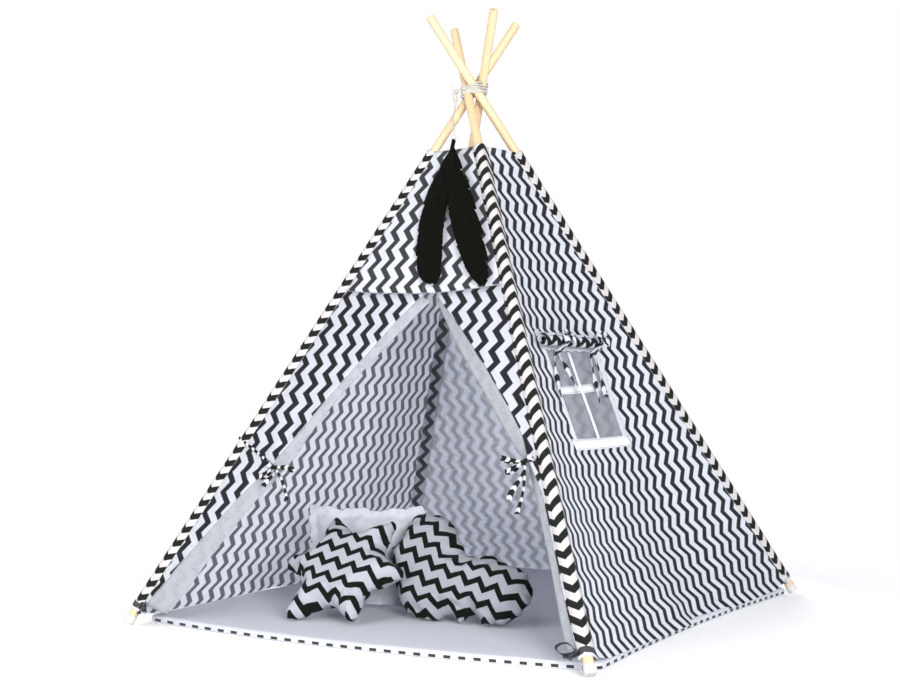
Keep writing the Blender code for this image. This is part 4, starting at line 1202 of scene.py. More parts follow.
@dataclass
class Cover:
    """The printed sides: each one sheet between two sleeves, the back in two halves."""

    columns: int = 64
    rows: int = 72
    front_hem: float = 0.022
    back_hem: float = 0.012
    hem_rise: float = 0.012
    hem_tuck: float = 0.026
    hem_reach: float = 0.09
    flare: float = 0.004
    slack: float = 0.0035
    pucker: float = 0.0011
    pucker_reach: float = 0.035
    blind_pucker: float = 0.0022
    blind_reach: float = 0.09
    seam_draw: float = 0.0012
    seam_pucker: float = 0.0005
    seam_reach: float = 0.008
    edge_round: float = 0.0004

    def hem(self, side: Side) -> float:
        """How high a side's lower edge hangs."""
        return self.front_hem if side in (Side.FRONT, Side.RIGHT) else self.back_hem

    def lift(self, side: Side, across: float, height: float) -> float:
        """How far the cloth stands off its smooth surface: slow waves and seam puckers."""
        low, high = TENT.reach(side, height)
        free = max(0.0, bulge((across - low) / (high - low)))
        seed = side.axis * 7.0 + side.outward.y
        wave = ripple(across * 3.2, height * 2.2, seed) + 0.5 * ripple(across * 8, height * 5, seed + 3)
        from_seam = max(0.0, min(across - low, high - across))
        pulled = math.exp(-from_seam / self.pucker_reach) * min(1.0, from_seam / 0.006)
        near_hem = 1 - smooth(0.0, 0.10, height - self.hem(side))
        flare = self.flare * near_hem * ripple(across * 9, 0.0, seed + 9)
        pucker = self.pucker * pulled * ripple(height * 55, seed, across * 6)
        return (self.slack * wave + flare) * free + pucker

    def sheet(
        self,
        name: str,
        side: Side,
        rows: Sequence[Sequence[Place]],
        keep: Callable[[int, int], bool] | None = None,
        shift: Place = (0.0, 0.0),
        extra: Lift = lambda across, height: 0.0,
        finishes: Sequence[Finish] = (PRINT, PRINT_INSIDE_PAINTED_LIGHT, WHITE),
    ) -> Piece:
        """Make a sheet of a side from rows of (across, height) places on it.

        shift is how far its print is offset, extra is more lift at a place, and the finishes
        are those of its outer side, its inner side and its cut edge.
        """
        points, uvs = [], []
        for row in rows:
            places = [(across, z + self.rise_at_pole(side, across, z)) for across, z in row]
            points.append([TENT.point(side, *p, self.lift(side, *p) + extra(*p)) for p in places])
            flat = [TENT.cloth_place(side, *p) for p in places]
            uvs.append([(u + shift[0], v + shift[1]) for u, v in flat])
        materials = [finish.material() for finish in finishes]
        return thicken(grid_piece(name, points, uvs, materials, keep, side.outward), TENT.cloth)

    def rise_at_pole(self, side: Side, across: float, height: float) -> float:
        """How far the hem is drawn up where it meets a sleeve."""
        low, high = TENT.reach(side, height)
        near = 1 - smooth(0.0, self.hem_reach, min(across - low, high - across))
        # The cushions' finishes are darkened with painted shade.
        return self.hem_rise * near * (1 - smooth(0.0, self.hem_reach, height - self.hem(side)))

    def tuck(self, across: float, height: float) -> float:
        """How far the right side's hem is drawn in between its poles."""
        low, high = TENT.reach(Side.RIGHT, height)
        return -self.hem_tuck * bulge((across - low) / (high - low)) * (1 - smooth(0.0, 0.17, height))

    @staticmethod
    def heights(low: float, high: float, count: int) -> list[float]:
        """Heights of rows, closer together near the hem where the cover leaves its sleeves."""
        return [low + (high - low) * (i / count) ** 1.15 for i in range(count + 1)]

    def build(self) -> None:
        """Make the left, right and back sides."""
        self.left()
        self.right()
        self.back()

    def left(self) -> None:
        """The whole left side."""
        heights = self.heights(self.back_hem, TENT.cover_top, self.rows)
        rows = [[(y, z) for y in steps(*TENT.reach(Side.LEFT, z), self.columns)] for z in heights]
        piece = self.sheet("left_side", Side.LEFT, rows)
        self.hem_line(piece)
        place_piece(piece, "left_frame", "print_cloth", "left_panel")

    def right(self) -> None:
        """The right side, open where the window is."""
        window = WINDOW
        front, rear = window.bounds()
        low = self.heights(self.front_hem, window.low, 28)
        mid = steps(window.low, window.high, 14)[1:]
        high = steps(window.high, TENT.cover_top, 32)[1:]
        beside, between = 26, 20
        rows = []
        for z in low + mid + high:
            a, b = TENT.reach(Side.RIGHT, z)
            a0, b0 = TENT.reach(Side.RIGHT, min(z, window.high))
            p, q = (a + (b - a) * (edge - a0) / (b0 - a0) for edge in (front, rear))
            line = steps(a, p, beside) + steps(p, q, between)[1:] + steps(q, b, beside)[1:]
            rows.append([(y, z) for y in line])
        sill = len(low) - 1

        def keep(i: int, j: int) -> bool:
            """Cloth everywhere but in the window."""
            return not (sill <= i < sill + len(mid) and beside <= j < beside + between)

        def gathered(across: float, height: float) -> float:
            """Puckers above the rolled blind, and the tuck of the hem."""
            over = (height - window.high) / self.blind_reach
            if not 0 <= over <= 1 or not front - 0.03 < across < rear + 0.03:
                return self.tuck(across, height)
            wave = math.sin(across * 230 + 2 * ripple(across * 20, height * 12, 1))
            return self.blind_pucker * wave * (1 - over) * min(1, over * 6)

        piece = self.sheet("right_side", Side.RIGHT, rows, keep, extra=gathered)
        self.hem_line(piece)
        place_piece(piece, "right_frame", "print_cloth", "right_panel")

    def back(self) -> None:
        """The back side in two halves with a seam up the middle."""
        for name, sign, corner in (("left", -1, Corner.BACK_LEFT), ("right", 1, Corner.BACK_RIGHT)):
            rows = []
            for z in self.heights(self.back_hem, TENT.cover_top, 60):
                line = steps(sign * TENT.seat / 2, TENT.sewn(sign, z, Side.BACK), 34)
                rows.append([(x, z) for x in line])
            # The inner side of the back halves has its print washed out with painted light.
            faces = (PRINT, BACK_INSIDE_PAINTED_LIGHT, WHITE)
            piece = self.sheet("back_side_" + name, Side.BACK, rows, extra=self.back_seam, finishes=faces)
            self.hem_line(piece)
            place_piece(piece, corner.body, "print_cloth", "back_panel_" + name, (Side.BACK, corner))

    def back_seam(self, across: float, height: float) -> float:
        """The middle seam draws the cloth in a little, with small puckers."""
        near = math.exp(-abs(across) / self.seam_reach)
        return near * (self.seam_pucker * ripple(height * 60, 1.0, 2.0) - self.seam_draw)

    def hem_line(self, piece: Piece) -> None:
        """Round the cloth's cut edges a little, as a turned hem is."""
        edge = piece.modifiers.new("hem", "BEVEL")
        edge.width = self.edge_round
        edge.segments = 2
        edge.limit_method = "ANGLE"
        edge.angle_limit = math.radians(60)


@dataclass(frozen=True)
class DoorHalf:
    """One half of the doorway: its curves are shares of the pole's distance by shares of height."""

    name: str
    sign: int
    corner: Corner
    knot: Place
    strap_rise: float
    gable_area: float
    flap_flat: Place
    flap_area: float
    facing_area: float
    loops: Sequence[Place]
    tails: Sequence[Place]
    flap: Curve
    facing: Curve

    @property
    def body(self) -> str:
        """The frame body of its flap."""
        return self.name + "_door"

    @property
    def gathers(self) -> tuple[Side, Corner]:
        """Where its pieces gather as the tent folds."""
        return Side.FRONT, self.corner

    def sewn(self, height: float) -> float:
        """How far across the front its sewn edge lies."""
        return TENT.sewn(self.sign, height)


DOOR_LEFT = DoorHalf(
    "left", -1, Corner.FRONT_LEFT, (-0.292, 0.372), 0.070, 0.064, (0.30, 0.90), 0.094, 0.038,
    loops=((0.058, -0.006), (-0.038, -0.026), (-0.026, 0.012)),
    tails=((0.064, -0.080), (-0.014, -0.050)),
    flap=(
        (0.00, 0.965), (0.11, 0.936), (0.22, 0.896), (0.38, 0.800), (0.48, 0.702),
        (0.55, 0.648), (0.61, 0.607), (0.72, 0.510), (0.83, 0.350), (0.93, 0.160), (1.00, -0.020),
    ),
    facing=(
        (0.00, 0.870), (0.10, 0.822), (0.23, 0.788), (0.40, 0.700), (0.50, 0.622),
        (0.61, 0.570), (0.72, 0.478), (0.83, 0.305), (0.93, 0.090), (1.00, -0.090),
    ),
)
DOOR_RIGHT = DoorHalf(
    "right", 1, Corner.FRONT_RIGHT, (0.382, 0.404), 0.014, 0.054, (0.16, 0.90), 0.047, 0.034,
    loops=((-0.060, 0.006), (-0.042, -0.026), (0.016, 0.008)),
    tails=((0.010, -0.120), (-0.016, -0.090)),
    flap=(
        (0.00, 0.990), (0.20, 0.990), (0.37, 0.985), (0.47, 0.930), (0.52, 0.905),
        (0.58, 0.892), (0.69, 0.790), (0.79, 0.655), (0.89, 0.465), (1.00, 0.160),
    ),
    facing=(
        (0.00, 0.915), (0.08, 0.917), (0.27, 0.918), (0.45, 0.905), (0.51, 0.892),
        (0.57, 0.830), (0.72, 0.655), (0.90, 0.350), (1.00, 0.150),
    ),
)


@dataclass
class Door:
    """The gable over the doorway, two flaps tied back to the poles, and their facings."""

    seam_height: float = 0.80599
    seam_dip: float = 0.015
    lap: float = 0.0006
    least_width: float = 0.008
    facing_lap: float = 0.008
    facing_standoff: float = 0.0021
    facing_turn_in: float = 0.012
    facing_foot: float = 0.036
    tie_height: float = 0.3820
    tie_width: float = 0.012
    tie_cloth: float = 0.0012
    fold_depth: float = 0.0040
    fold_reach: float = 0.16
    folds: float = 9.0
    bow_width: float = 0.0125

    def build(self) -> None:
        """Make the gable, the flaps and what is sewn to them."""
        for half in (DOOR_LEFT, DOOR_RIGHT):
            self.gable(half)
            self.flap(half)
            self.facing(half)
            self.tie(half)

    @property
    def top(self) -> float:
        """Where the flaps and facings end under the gable."""
        return self.seam_height - TENT.cloth - self.lap

    def gable(self, half: DoorHalf) -> None:
        """Half of the piece over the doorway, its lower edge lapped over the flaps."""
        rows = []
        start = half.sign * TENT.seat / 2
        for z in steps(self.seam_height, TENT.cover_top, 34):
            dip = self.seam_dip * (TENT.cover_top - z) / (TENT.cover_top - self.seam_height)
            width = half.sewn(z) - start
            rows.append([(start + width * s, z - dip * (1 - s**2)) for s in steps(0.0, 1.0, 18)])
        # The gable's paler ink is painted light, and so is the brighter ground of its inner side.
        faces = (GABLE_PRINT_PAINTED_LIGHT, PRINT_INSIDE_PAINTED_LIGHT, WHITE)
        piece = COVER.sheet("gable_cloth_" + half.name, Side.FRONT, rows, finishes=faces)
        place_piece(piece, half.corner.body, "print_cloth", "gable_" + half.name, half.gathers)

    def edge_at(self, half: DoorHalf, shares: Curve, height: float) -> float:
        """Where an edge of the door cloth lies across the front."""
        width = abs(TENT.axis(half.corner, height).x)
        return half.sign * width * on_curve(shares, height / self.seam_height)

    def free_edge(self, half: DoorHalf, height: float) -> float:
        """The free edge of a flap, which stays a little off its sleeve."""
        widest = abs(half.sewn(height)) - self.least_width
        return half.sign * min(self.edge_at(half, half.flap, height) * half.sign, widest)

    def gather(self, half: DoorHalf) -> Lift:
        """Folds of a flap that run together at its tie."""
        tie_x = self.free_edge(half, self.tie_height)

        def lift(across: float, height: float) -> float:
            """The folds' height at a place."""
            dx, dz = across - tie_x, (height - self.tie_height) * TENT.slope()
            far = math.hypot(dx, dz)
            loose = smooth(0.0, 0.05, abs(half.sewn(height) - across))
            turn = math.atan2(dx * half.sign, dz) * self.folds + 0.6 * ripple(far * 9, half.sign, 2.0)
            near = math.exp(-far / self.fold_reach) * smooth(0.0, 0.03, far)
            return self.fold_depth * math.cos(turn) * loose * near

        return lift

    def flap(self, half: DoorHalf) -> None:
        """One flap from its sleeve to its free edge."""
        rows = []
        hem = COVER.front_hem
        for z in COVER.heights(hem, self.top, 56):
            dip = self.seam_dip * (z - hem) / (self.top - hem)
            sewn = half.sewn(z)
            line = steps(sewn, self.free_edge(half, z), 20)
            rows.append([(x, z - dip * (1 - min(1.0, abs(x / sewn)) ** 2)) for x in line])
        # The flaps' darker ground is painted shade.
        piece = COVER.sheet(
            "flap_cloth_" + half.name, Side.FRONT, rows, shift=(0.013, 0.021),
            extra=self.gather(half), finishes=(FLAP_PRINT_PAINTED_SHADE, PRINT_INSIDE_PAINTED_LIGHT, WHITE),
        )
        place_piece(piece, half.body, "print_cloth", "door_flap_" + half.name, half.gathers)

    def facing(self, half: DoorHalf) -> None:
        """The plain band along a flap's edge, turned in to the doorway."""
        rows, lifts = [], {}
        fold = self.gather(half)
        for z in steps(self.facing_foot, self.top, 56):
            share = (z - self.facing_foot) / (self.top - self.facing_foot)
            edge = self.free_edge(half, z)
            lap = min(self.facing_lap, half.sign * (half.sewn(z) - edge) / 2)
            low = z - (self.seam_dip + self.least_width) * share
            line = steps(edge + half.sign * lap, self.edge_at(half, half.facing, z), 8)
            rows.append([(x, low) for x in line])
            for j, x in enumerate(line):
                risen = low + COVER.rise_at_pole(Side.FRONT, x, low)
                lifts[x, risen] = -self.facing_standoff - self.facing_turn_in * j / 8
        # The facings' grey is painted shade.
        piece = COVER.sheet(
            "facing_cloth_" + half.name, Side.FRONT, rows, shift=(0.004, 0.0),
            extra=lambda across, height: lifts[across, height] + fold(across, height) * 0.6,
            finishes=(FACING_PAINTED_SHADE, FACING_PAINTED_SHADE, WHITE),
        )
        place_piece(piece, half.body, "white_cloth", "door_facing_" + half.name, half.gathers)

    def tie(self, half: DoorHalf) -> None:
        """The strap from the sleeve to the knot, and the bow on it."""
        lift = TENT.cloth / 2 + TENT.seat + TENT.strap / 2 + 0.001
        across, height = half.knot
        path, widths = [], []
        for i, x in enumerate(steps(half.sewn(height), across, 10)):
            level, off = height + half.strap_rise * (1 - i / 10), 0.002 * math.sin(i) + 0.0004 * i
            path.append(TENT.point(Side.FRONT, x, level, lift + off))
            widths.append(self.tie_width * (0.62 - 0.2 * smooth(0.5, 1.0, i / 10)))
        wide = [TENT.side_frame(Side.FRONT, across, height, 0.0).col[1].to_3d()] * len(path)
        cloth = (RIBBON.material(), self.tie_cloth)
        strap = ribbon_piece("door_strap_" + half.name, path, wide, widths, *cloth, cup=0.10)
        place_piece(strap, half.body, "print_cloth", "door_tie_" + half.name, half.gathers)
        place = TENT.side_frame(Side.FRONT, across, height, lift + 0.007)
        bow = Bow(place, half.loops, half.tails, self.bow_width, RIBBON)
        piece = bow.build("door_bow_cloth_" + half.name)
        place_piece(piece, half.body, "print_cloth", "door_bow_" + half.name, half.gathers)


@dataclass
class Bow:
    """A tied bow of flat strip: loops, tails and the wrap of its knot."""

    place: Matrix
    loops: Sequence[Place]
    tails: Sequence[Place]
    width: float
    finish: Finish
    depth: float = 0.0060
    cloth: float = 0.0011
    open_loop_path: Curve = ()

    def build(self, name: str) -> Piece:
        """Make the bow in the frame's axes."""
        pieces = [self.loop(Vector((*end, 0))) for end in self.loops]
        pieces += [self.tail(n, Vector((*end, 0))) for n, end in enumerate(self.tails)]
        pieces += [self.open_loop()] if self.open_loop_path else []
        return joined(name, pieces + [self.knot()])

    def strip(
        self, path: Sequence[Vector], across: Sequence[Vector], shares: Sequence[float], cup: float
    ) -> Piece:
        """A strip along a path in the bow's own frame, its widths as shares of the bow's."""
        path = [self.place @ p for p in path]
        across = [self.place.to_3x3() @ a for a in across]
        widths = [self.width * share for share in shares]
        return ribbon_piece("strip", path, across, widths, self.finish.material(), self.cloth, cup=cup)

    def open_loop(self) -> Piece:
        """A loop that stands on its edge, with an open middle."""
        through = [Vector((*p, 0.003 + 0.002 * (i % 2))) for i, p in enumerate(self.open_loop_path)]
        across = [Vector((0.3 * math.sin(i * 0.3), 0.2, 1)) for i in range(30)]
        return self.strip(smooth_path(through, 30), across, [0.8] * 30, 0.05)

    def loop(self, end: Vector) -> Piece:
        """A loop that goes out over and comes back under."""
        path, across, shares = [], [], []
        square = UP.cross(end).normalized()
        for angle in round_steps(24):
            out = (1 - math.cos(angle)) / 2
            rise = self.depth * math.sin(angle) * out**0.5 + 0.001
            path.append(end * out + square * (0.003 * math.sin(out * 3)) + UP * rise)
            across.append(square + UP * (0.25 * math.sin(angle)))
            shares.append(0.34 + 0.66 * smooth(0.0, 0.8, out))
        return self.strip(path, across, shares, 0.12)

    def tail(self, number: int, end: Vector) -> Piece:
        """A tail that hangs with a slight wave and twist."""
        path, across, shares = [], [], []
        square = UP.cross(end).normalized()
        for share in steps(0.0, 1.0, 14):
            wave, aside = 0.0022 * math.sin(share * 7 + number * 2), 0.004 * math.sin(share * 4 + number)
            path.append(end * share + square * aside + UP * wave)
            across.append(square + UP * (0.7 * math.sin(share * 3.2 + number * 1.4)))
            shares.append(0.40 + 0.55 * smooth(0.0, 0.45, share))
        return self.strip(path, across, shares, 0.08)

    def knot(self) -> Piece:
        """The strip wrapped once round the middle."""
        path = [Vector((0.0042 * math.cos(a), 0, 0.0036 * math.sin(a) + 0.0015)) for a in round_steps(16)]
        return self.strip(path, [Vector((0.15, 1, 0))] * 17, [0.62] * 17, -0.14)


@dataclass(frozen=True)
class BlindTie:
    """A tie of the blind: where it lies along the roll, its hanging tails and its bow's loops."""

    name: str
    share: float
    tails: Sequence[Curve]
    loops: Sequence[Place]


BLIND_TIES = (
    BlindTie(
        "front", 0.33,
        (
            ((-0.142, 0.650), (-0.176, 0.620), (-0.196, 0.580), (-0.218, 0.529)),
            ((-0.122, 0.650), (-0.112, 0.625), (-0.100, 0.595), (-0.089, 0.563)),
        ),
        ((0.020, -0.016), (-0.024, -0.006), (-0.008, 0.018)),
    ),
    BlindTie(
        "rear", 0.94,
        (
            ((0.052, 0.650), (0.032, 0.612), (0.020, 0.572), (0.005, 0.536)),
            (
                (0.070, 0.650), (0.064, 0.615), (0.060, 0.580),
                (0.052, 0.556), (0.062, 0.548), (0.066, 0.560),
            ),
        ),
        ((0.034, 0.016), (0.026, -0.014), (-0.018, 0.012)),
    ),
)


@dataclass
class Window:
    """The net window of the right side, its tapes, the rolled blind and its ties."""

    middle: float = -0.04464
    width: float = 0.26474
    low: float = 0.46068
    high: float = 0.66132
    bar_share: float = 0.555
    bar_rise: float = 0.011
    bar: float = 0.020
    tape: float = 0.028
    top_tape: float = 0.046
    net_lap: float = 0.006
    net_wave: float = 0.0012
    net_cloth: float = 0.0006
    blind_radius: float = 0.0162
    blind_core: float = 0.0035
    blind_cloth: float = 0.0009
    blind_sag: float = 0.0012
    blind_lumps: float = 0.055
    blind_pull: float = 0.10
    blind_middle: float = -0.07164
    blind_length: float = 0.31374
    blind_height: float = 0.67332
    turns: float = 3.2
    tie_width: float = 0.015
    tie_reach: float = 0.016
    strip_cloth: float = 0.0011

    @property
    def over(self) -> float:
        """How far the tapes' middle stands off the side's."""
        return TENT.cloth + TENT.seat

    def bounds(self) -> Place:
        """The window's front and rear edges, across the side."""
        return self.middle - self.width / 2, self.middle + self.width / 2

    def on(self, across: float, height: float, lift: float) -> Vector:
        """A point on the right side, on the cloth's own waves."""
        return TENT.point(Side.RIGHT, across, height, lift + COVER.lift(Side.RIGHT, across, height))

    def build(self) -> None:
        """Make the window and its blind."""
        self.net()
        self.frame()
        self.bars()
        self.out = TENT.normal(Side.RIGHT, self.blind_height)
        lift = TENT.cloth * 1.5 + TENT.seat * 2 + self.blind_radius
        half = self.blind_length / 2
        ends = (self.blind_middle - half, self.blind_middle + half)
        self.first, self.last = (TENT.point(Side.RIGHT, x, self.blind_height, lift) for x in ends)
        self.along = (self.last - self.first).normalized()
        self.up = self.out.cross(self.along).normalized()
        self.blind()
        for tie in BLIND_TIES:
            self.tie(tie)

    @staticmethod
    def place(piece: Piece, slot: str, node: str) -> None:
        """Say what a piece of the window is; all of them ride with the right side."""
        place_piece(piece, "right_frame", slot, node)

    def net(self) -> None:
        """The netting behind the opening."""
        front, rear = self.bounds()
        rows, uvs = [], []
        for z in steps(self.low - self.net_lap, self.high + self.net_lap, 20):
            line = steps(front - self.net_lap, rear + self.net_lap, 24)
            waves = [self.net_wave * ripple(y * 14, z * 14, 4) for y in line]
            rows.append([self.on(y, z, wave - self.over) for y, wave in zip(line, waves)])
            uvs.append([(y, z * TENT.slope()) for y in line])
        piece = grid_piece("window_netting", rows, uvs, [NET.material()], outward=Side.RIGHT.outward)
        thicken(piece, self.net_cloth)
        self.place(piece, "net", "window_net")

    def strip(self, points: Sequence[Place], wide: int, width: float, lift: float, finish: Finish) -> Piece:
        """A tape on the side's cloth, its width across the side (0) or up it (1)."""
        path = [self.on(*p, lift) for p in points]
        across = [TENT.side_frame(Side.RIGHT, *p, 0.0).col[wide].to_3d() for p in points]
        return ribbon_piece("tape", path, across, [width] * len(path), finish.material(), self.strip_cloth)

    def frame(self) -> None:
        """Four tapes round the opening, lapped at the corners."""
        front, rear = self.bounds()
        upright = steps(self.low - self.tape, self.high + self.top_tape, 24)
        level = steps(front - self.tape, rear + self.tape, 30)
        sill = self.low - self.tape / 2 / TENT.slope()
        head = self.high + self.top_tape / 2 / TENT.slope()
        sides = (
            ([(front - self.tape / 4, z) for z in upright], 0, self.tape / 2, self.over, WHITE),
            ([(rear + self.tape * 0.3, z) for z in upright], 0, self.tape * 0.6, self.over, WHITE),
            ([(y, sill) for y in level], 1, self.tape, self.over + 0.0007, SIDE_TAPE),
            ([(y, head) for y in level], 1, self.top_tape, self.over + 0.0004, WHITE),
        )
        tapes = [self.strip(*side) for side in sides]
        self.place(joined("window_tapes", tapes), "white_cloth", "window_frame")

    def bars(self) -> None:
        """The upright and the level tape over the net."""
        upright = [(self.middle, z) for z in steps(self.low, self.high, 18)]
        middle = self.low + (self.high - self.low) * self.bar_share
        places = enumerate(steps(*self.bounds(), 24))
        level = [(y, middle + self.bar_rise * (n / 24 - 0.3)) for n, y in places]
        for name, points, wide, width, lift in (
            ("upright", upright, 0, self.bar * 0.62, self.over - 0.0008),
            ("level", level, 1, self.bar, 0.0),
        ):
            piece = joined("window_" + name, [self.strip(points, wide, width, lift, BAR_TAPE)])
            self.place(piece, "white_cloth", "window_bar_" + name)

    def blind(self) -> None:
        """Cloth rolled round itself, drawn in under its two ties."""
        rows, uvs = [], []
        length = (self.last - self.first).length
        for share in steps(0.0, 1.0, 64):
            far = [(share - tie.share) * length / self.tie_reach for tie in BLIND_TIES]
            pull = min(1.0, sum(math.exp(-(off**2)) for off in far))
            sag = self.blind_sag * ripple(share * 7, 1.0, 1.0)
            centre = self.first.lerp(self.last, share) + self.up * sag
            row, line = [], []
            for i in range(91):
                angle = math.tau * self.turns * i / 90
                size = self.blind_core + (self.blind_radius - self.blind_core) * i / 90
                lump = self.blind_lumps * ripple(share * 12, math.cos(angle), math.sin(angle))
                size_here = size * (1 + lump - self.blind_pull * pull)
                offset = (self.up * math.cos(angle) + self.out * math.sin(angle)) * size_here
                skew = 0.002 * math.sin(angle * 2.3) * (2 * share - 1)
                row.append(centre + offset + self.along * skew)
                line.append((size * angle / 2, share * length))
            rows.append(row)
            uvs.append(line)
        piece = thicken(grid_piece("blind_cloth", rows, uvs, [PRINT.material()]), self.blind_cloth)
        self.place(piece, "print_cloth", "blind_roll")

    def tie(self, tie: BlindTie) -> None:
        """A strap over the roll with a bow, whose tails hang down over the window."""
        centre, up, out, wide = self.first.lerp(self.last, tie.share), self.up, self.out, self.along
        reach = self.blind_radius + 0.0014
        flat = TENT.cloth * 1.5 + TENT.seat * 2 + 0.002
        over = [self.on(centre.y, self.blind_height + reach + 0.004, flat)]
        for a in steps(math.radians(100), math.radians(-100), 14):
            over.append(centre + (up * math.sin(a) + out * math.cos(a)) * reach)
        cloth = (PRINT.material(), self.strip_cloth)
        pieces = [ribbon_piece("over", over, [wide] * len(over), [self.tie_width] * len(over), *cloth)]
        for n, places in enumerate(tie.tails):
            knots = [self.on(*place, flat + 0.006) for place in places]
            path = smooth_path([centre + out * (reach + 0.002) - up * 0.010, *knots], 34)
            across = [wide + out * (0.55 * math.sin(i * 0.35 + n)) for i in range(34)]
            widths = [self.tie_width * (0.95 - 0.30 * math.sin(i * 0.42 + 2 * n) ** 2) for i in range(34)]
            pieces.append(ribbon_piece("tail", path, across, widths, *cloth, 0.013 * n, 0.12))
        self.place(joined("blind_strap_" + tie.name, pieces), "print_cloth", "blind_tie_" + tie.name)
        place = Matrix.Translation(centre + out * (reach + 0.003))
        place @= Matrix((wide, up, out)).transposed().to_4x4()
        bow = Bow(place, tie.loops, (), self.tie_width, PRINT, depth=0.005)
        self.place(bow.build("blind_bow_cloth_" + tie.name), "print_cloth", "blind_bow_" + tie.name)


@dataclass
class FootRibbons:
    """A dark sheer ribbon round the foot of each sleeve, tied in a small bow."""

    start: float = 0.050
    width: float = 0.014
    radius: float = 0.0149
    cloth: float = 0.0008
    bow_height: float = 0.0365
    small_loop: float = 0.45
    open_loop: Curve = (
        (0.0, 0.0), (0.018, 0.012), (0.036, 0.011), (0.044, 0.001),
        (0.032, -0.009), (0.014, -0.008), (0.0, -0.002),
    )

    def build(self) -> None:
        """Make a ribbon and a bow at each pole."""
        for corner in Corner:
            self.ring(corner)
            self.bow(corner)

    def ring(self, corner: Corner) -> None:
        """The ribbon round the sleeve, gathered a little."""
        place = TENT.frame_on(corner, self.start)
        path, widths = [], []
        for angle in round_steps(48):
            x, y = math.cos(angle), math.sin(angle)
            size = self.radius * (1 + 0.02 * ripple(x * 4, y * 4, corner.value[0]))
            path.append(place @ Vector((size * x, size * y, self.width / 2 + 0.0012 * math.sin(angle * 2))))
            widths.append(self.width * (0.9 + 0.1 * ripple(x * 2, y * 2, 3.0)))
        across = [place.to_3x3() @ UP] * len(path)
        name = "foot_ribbon_" + corner.node
        piece = ribbon_piece(name, path, across, widths, SHEER.material(), self.cloth, cup=0.03)
        place_piece(piece, corner.body, "dark_ribbon", "foot_tie_" + corner.node)

    def bow(self, corner: Corner) -> None:
        """The small bow beside the sleeve, with its open loop wide at the front right foot."""
        sx, sy = corner.value
        side = Side.FRONT if sy < 0 else Side.BACK
        across = TENT.axis(corner, self.bow_height + 0.012).x - sx * self.radius
        place = TENT.side_frame(side, across, self.bow_height + 0.008, 0.005)
        way = sx * sy
        size = 1.0 if corner is Corner.FRONT_RIGHT else self.small_loop
        bow = Bow(
            place, ((0.016 * way, -0.010),), ((0.026 * way, -0.016), (0.008 * way, -0.020)), 0.010, SHEER,
            0.005, 0.0007, [(x * way * size, y * size) for x, y in self.open_loop],
        )
        piece = bow.build("foot_bow_cloth_" + corner.node)
        place_piece(piece, corner.body, "dark_ribbon", "foot_bow_" + corner.node, (side, corner))


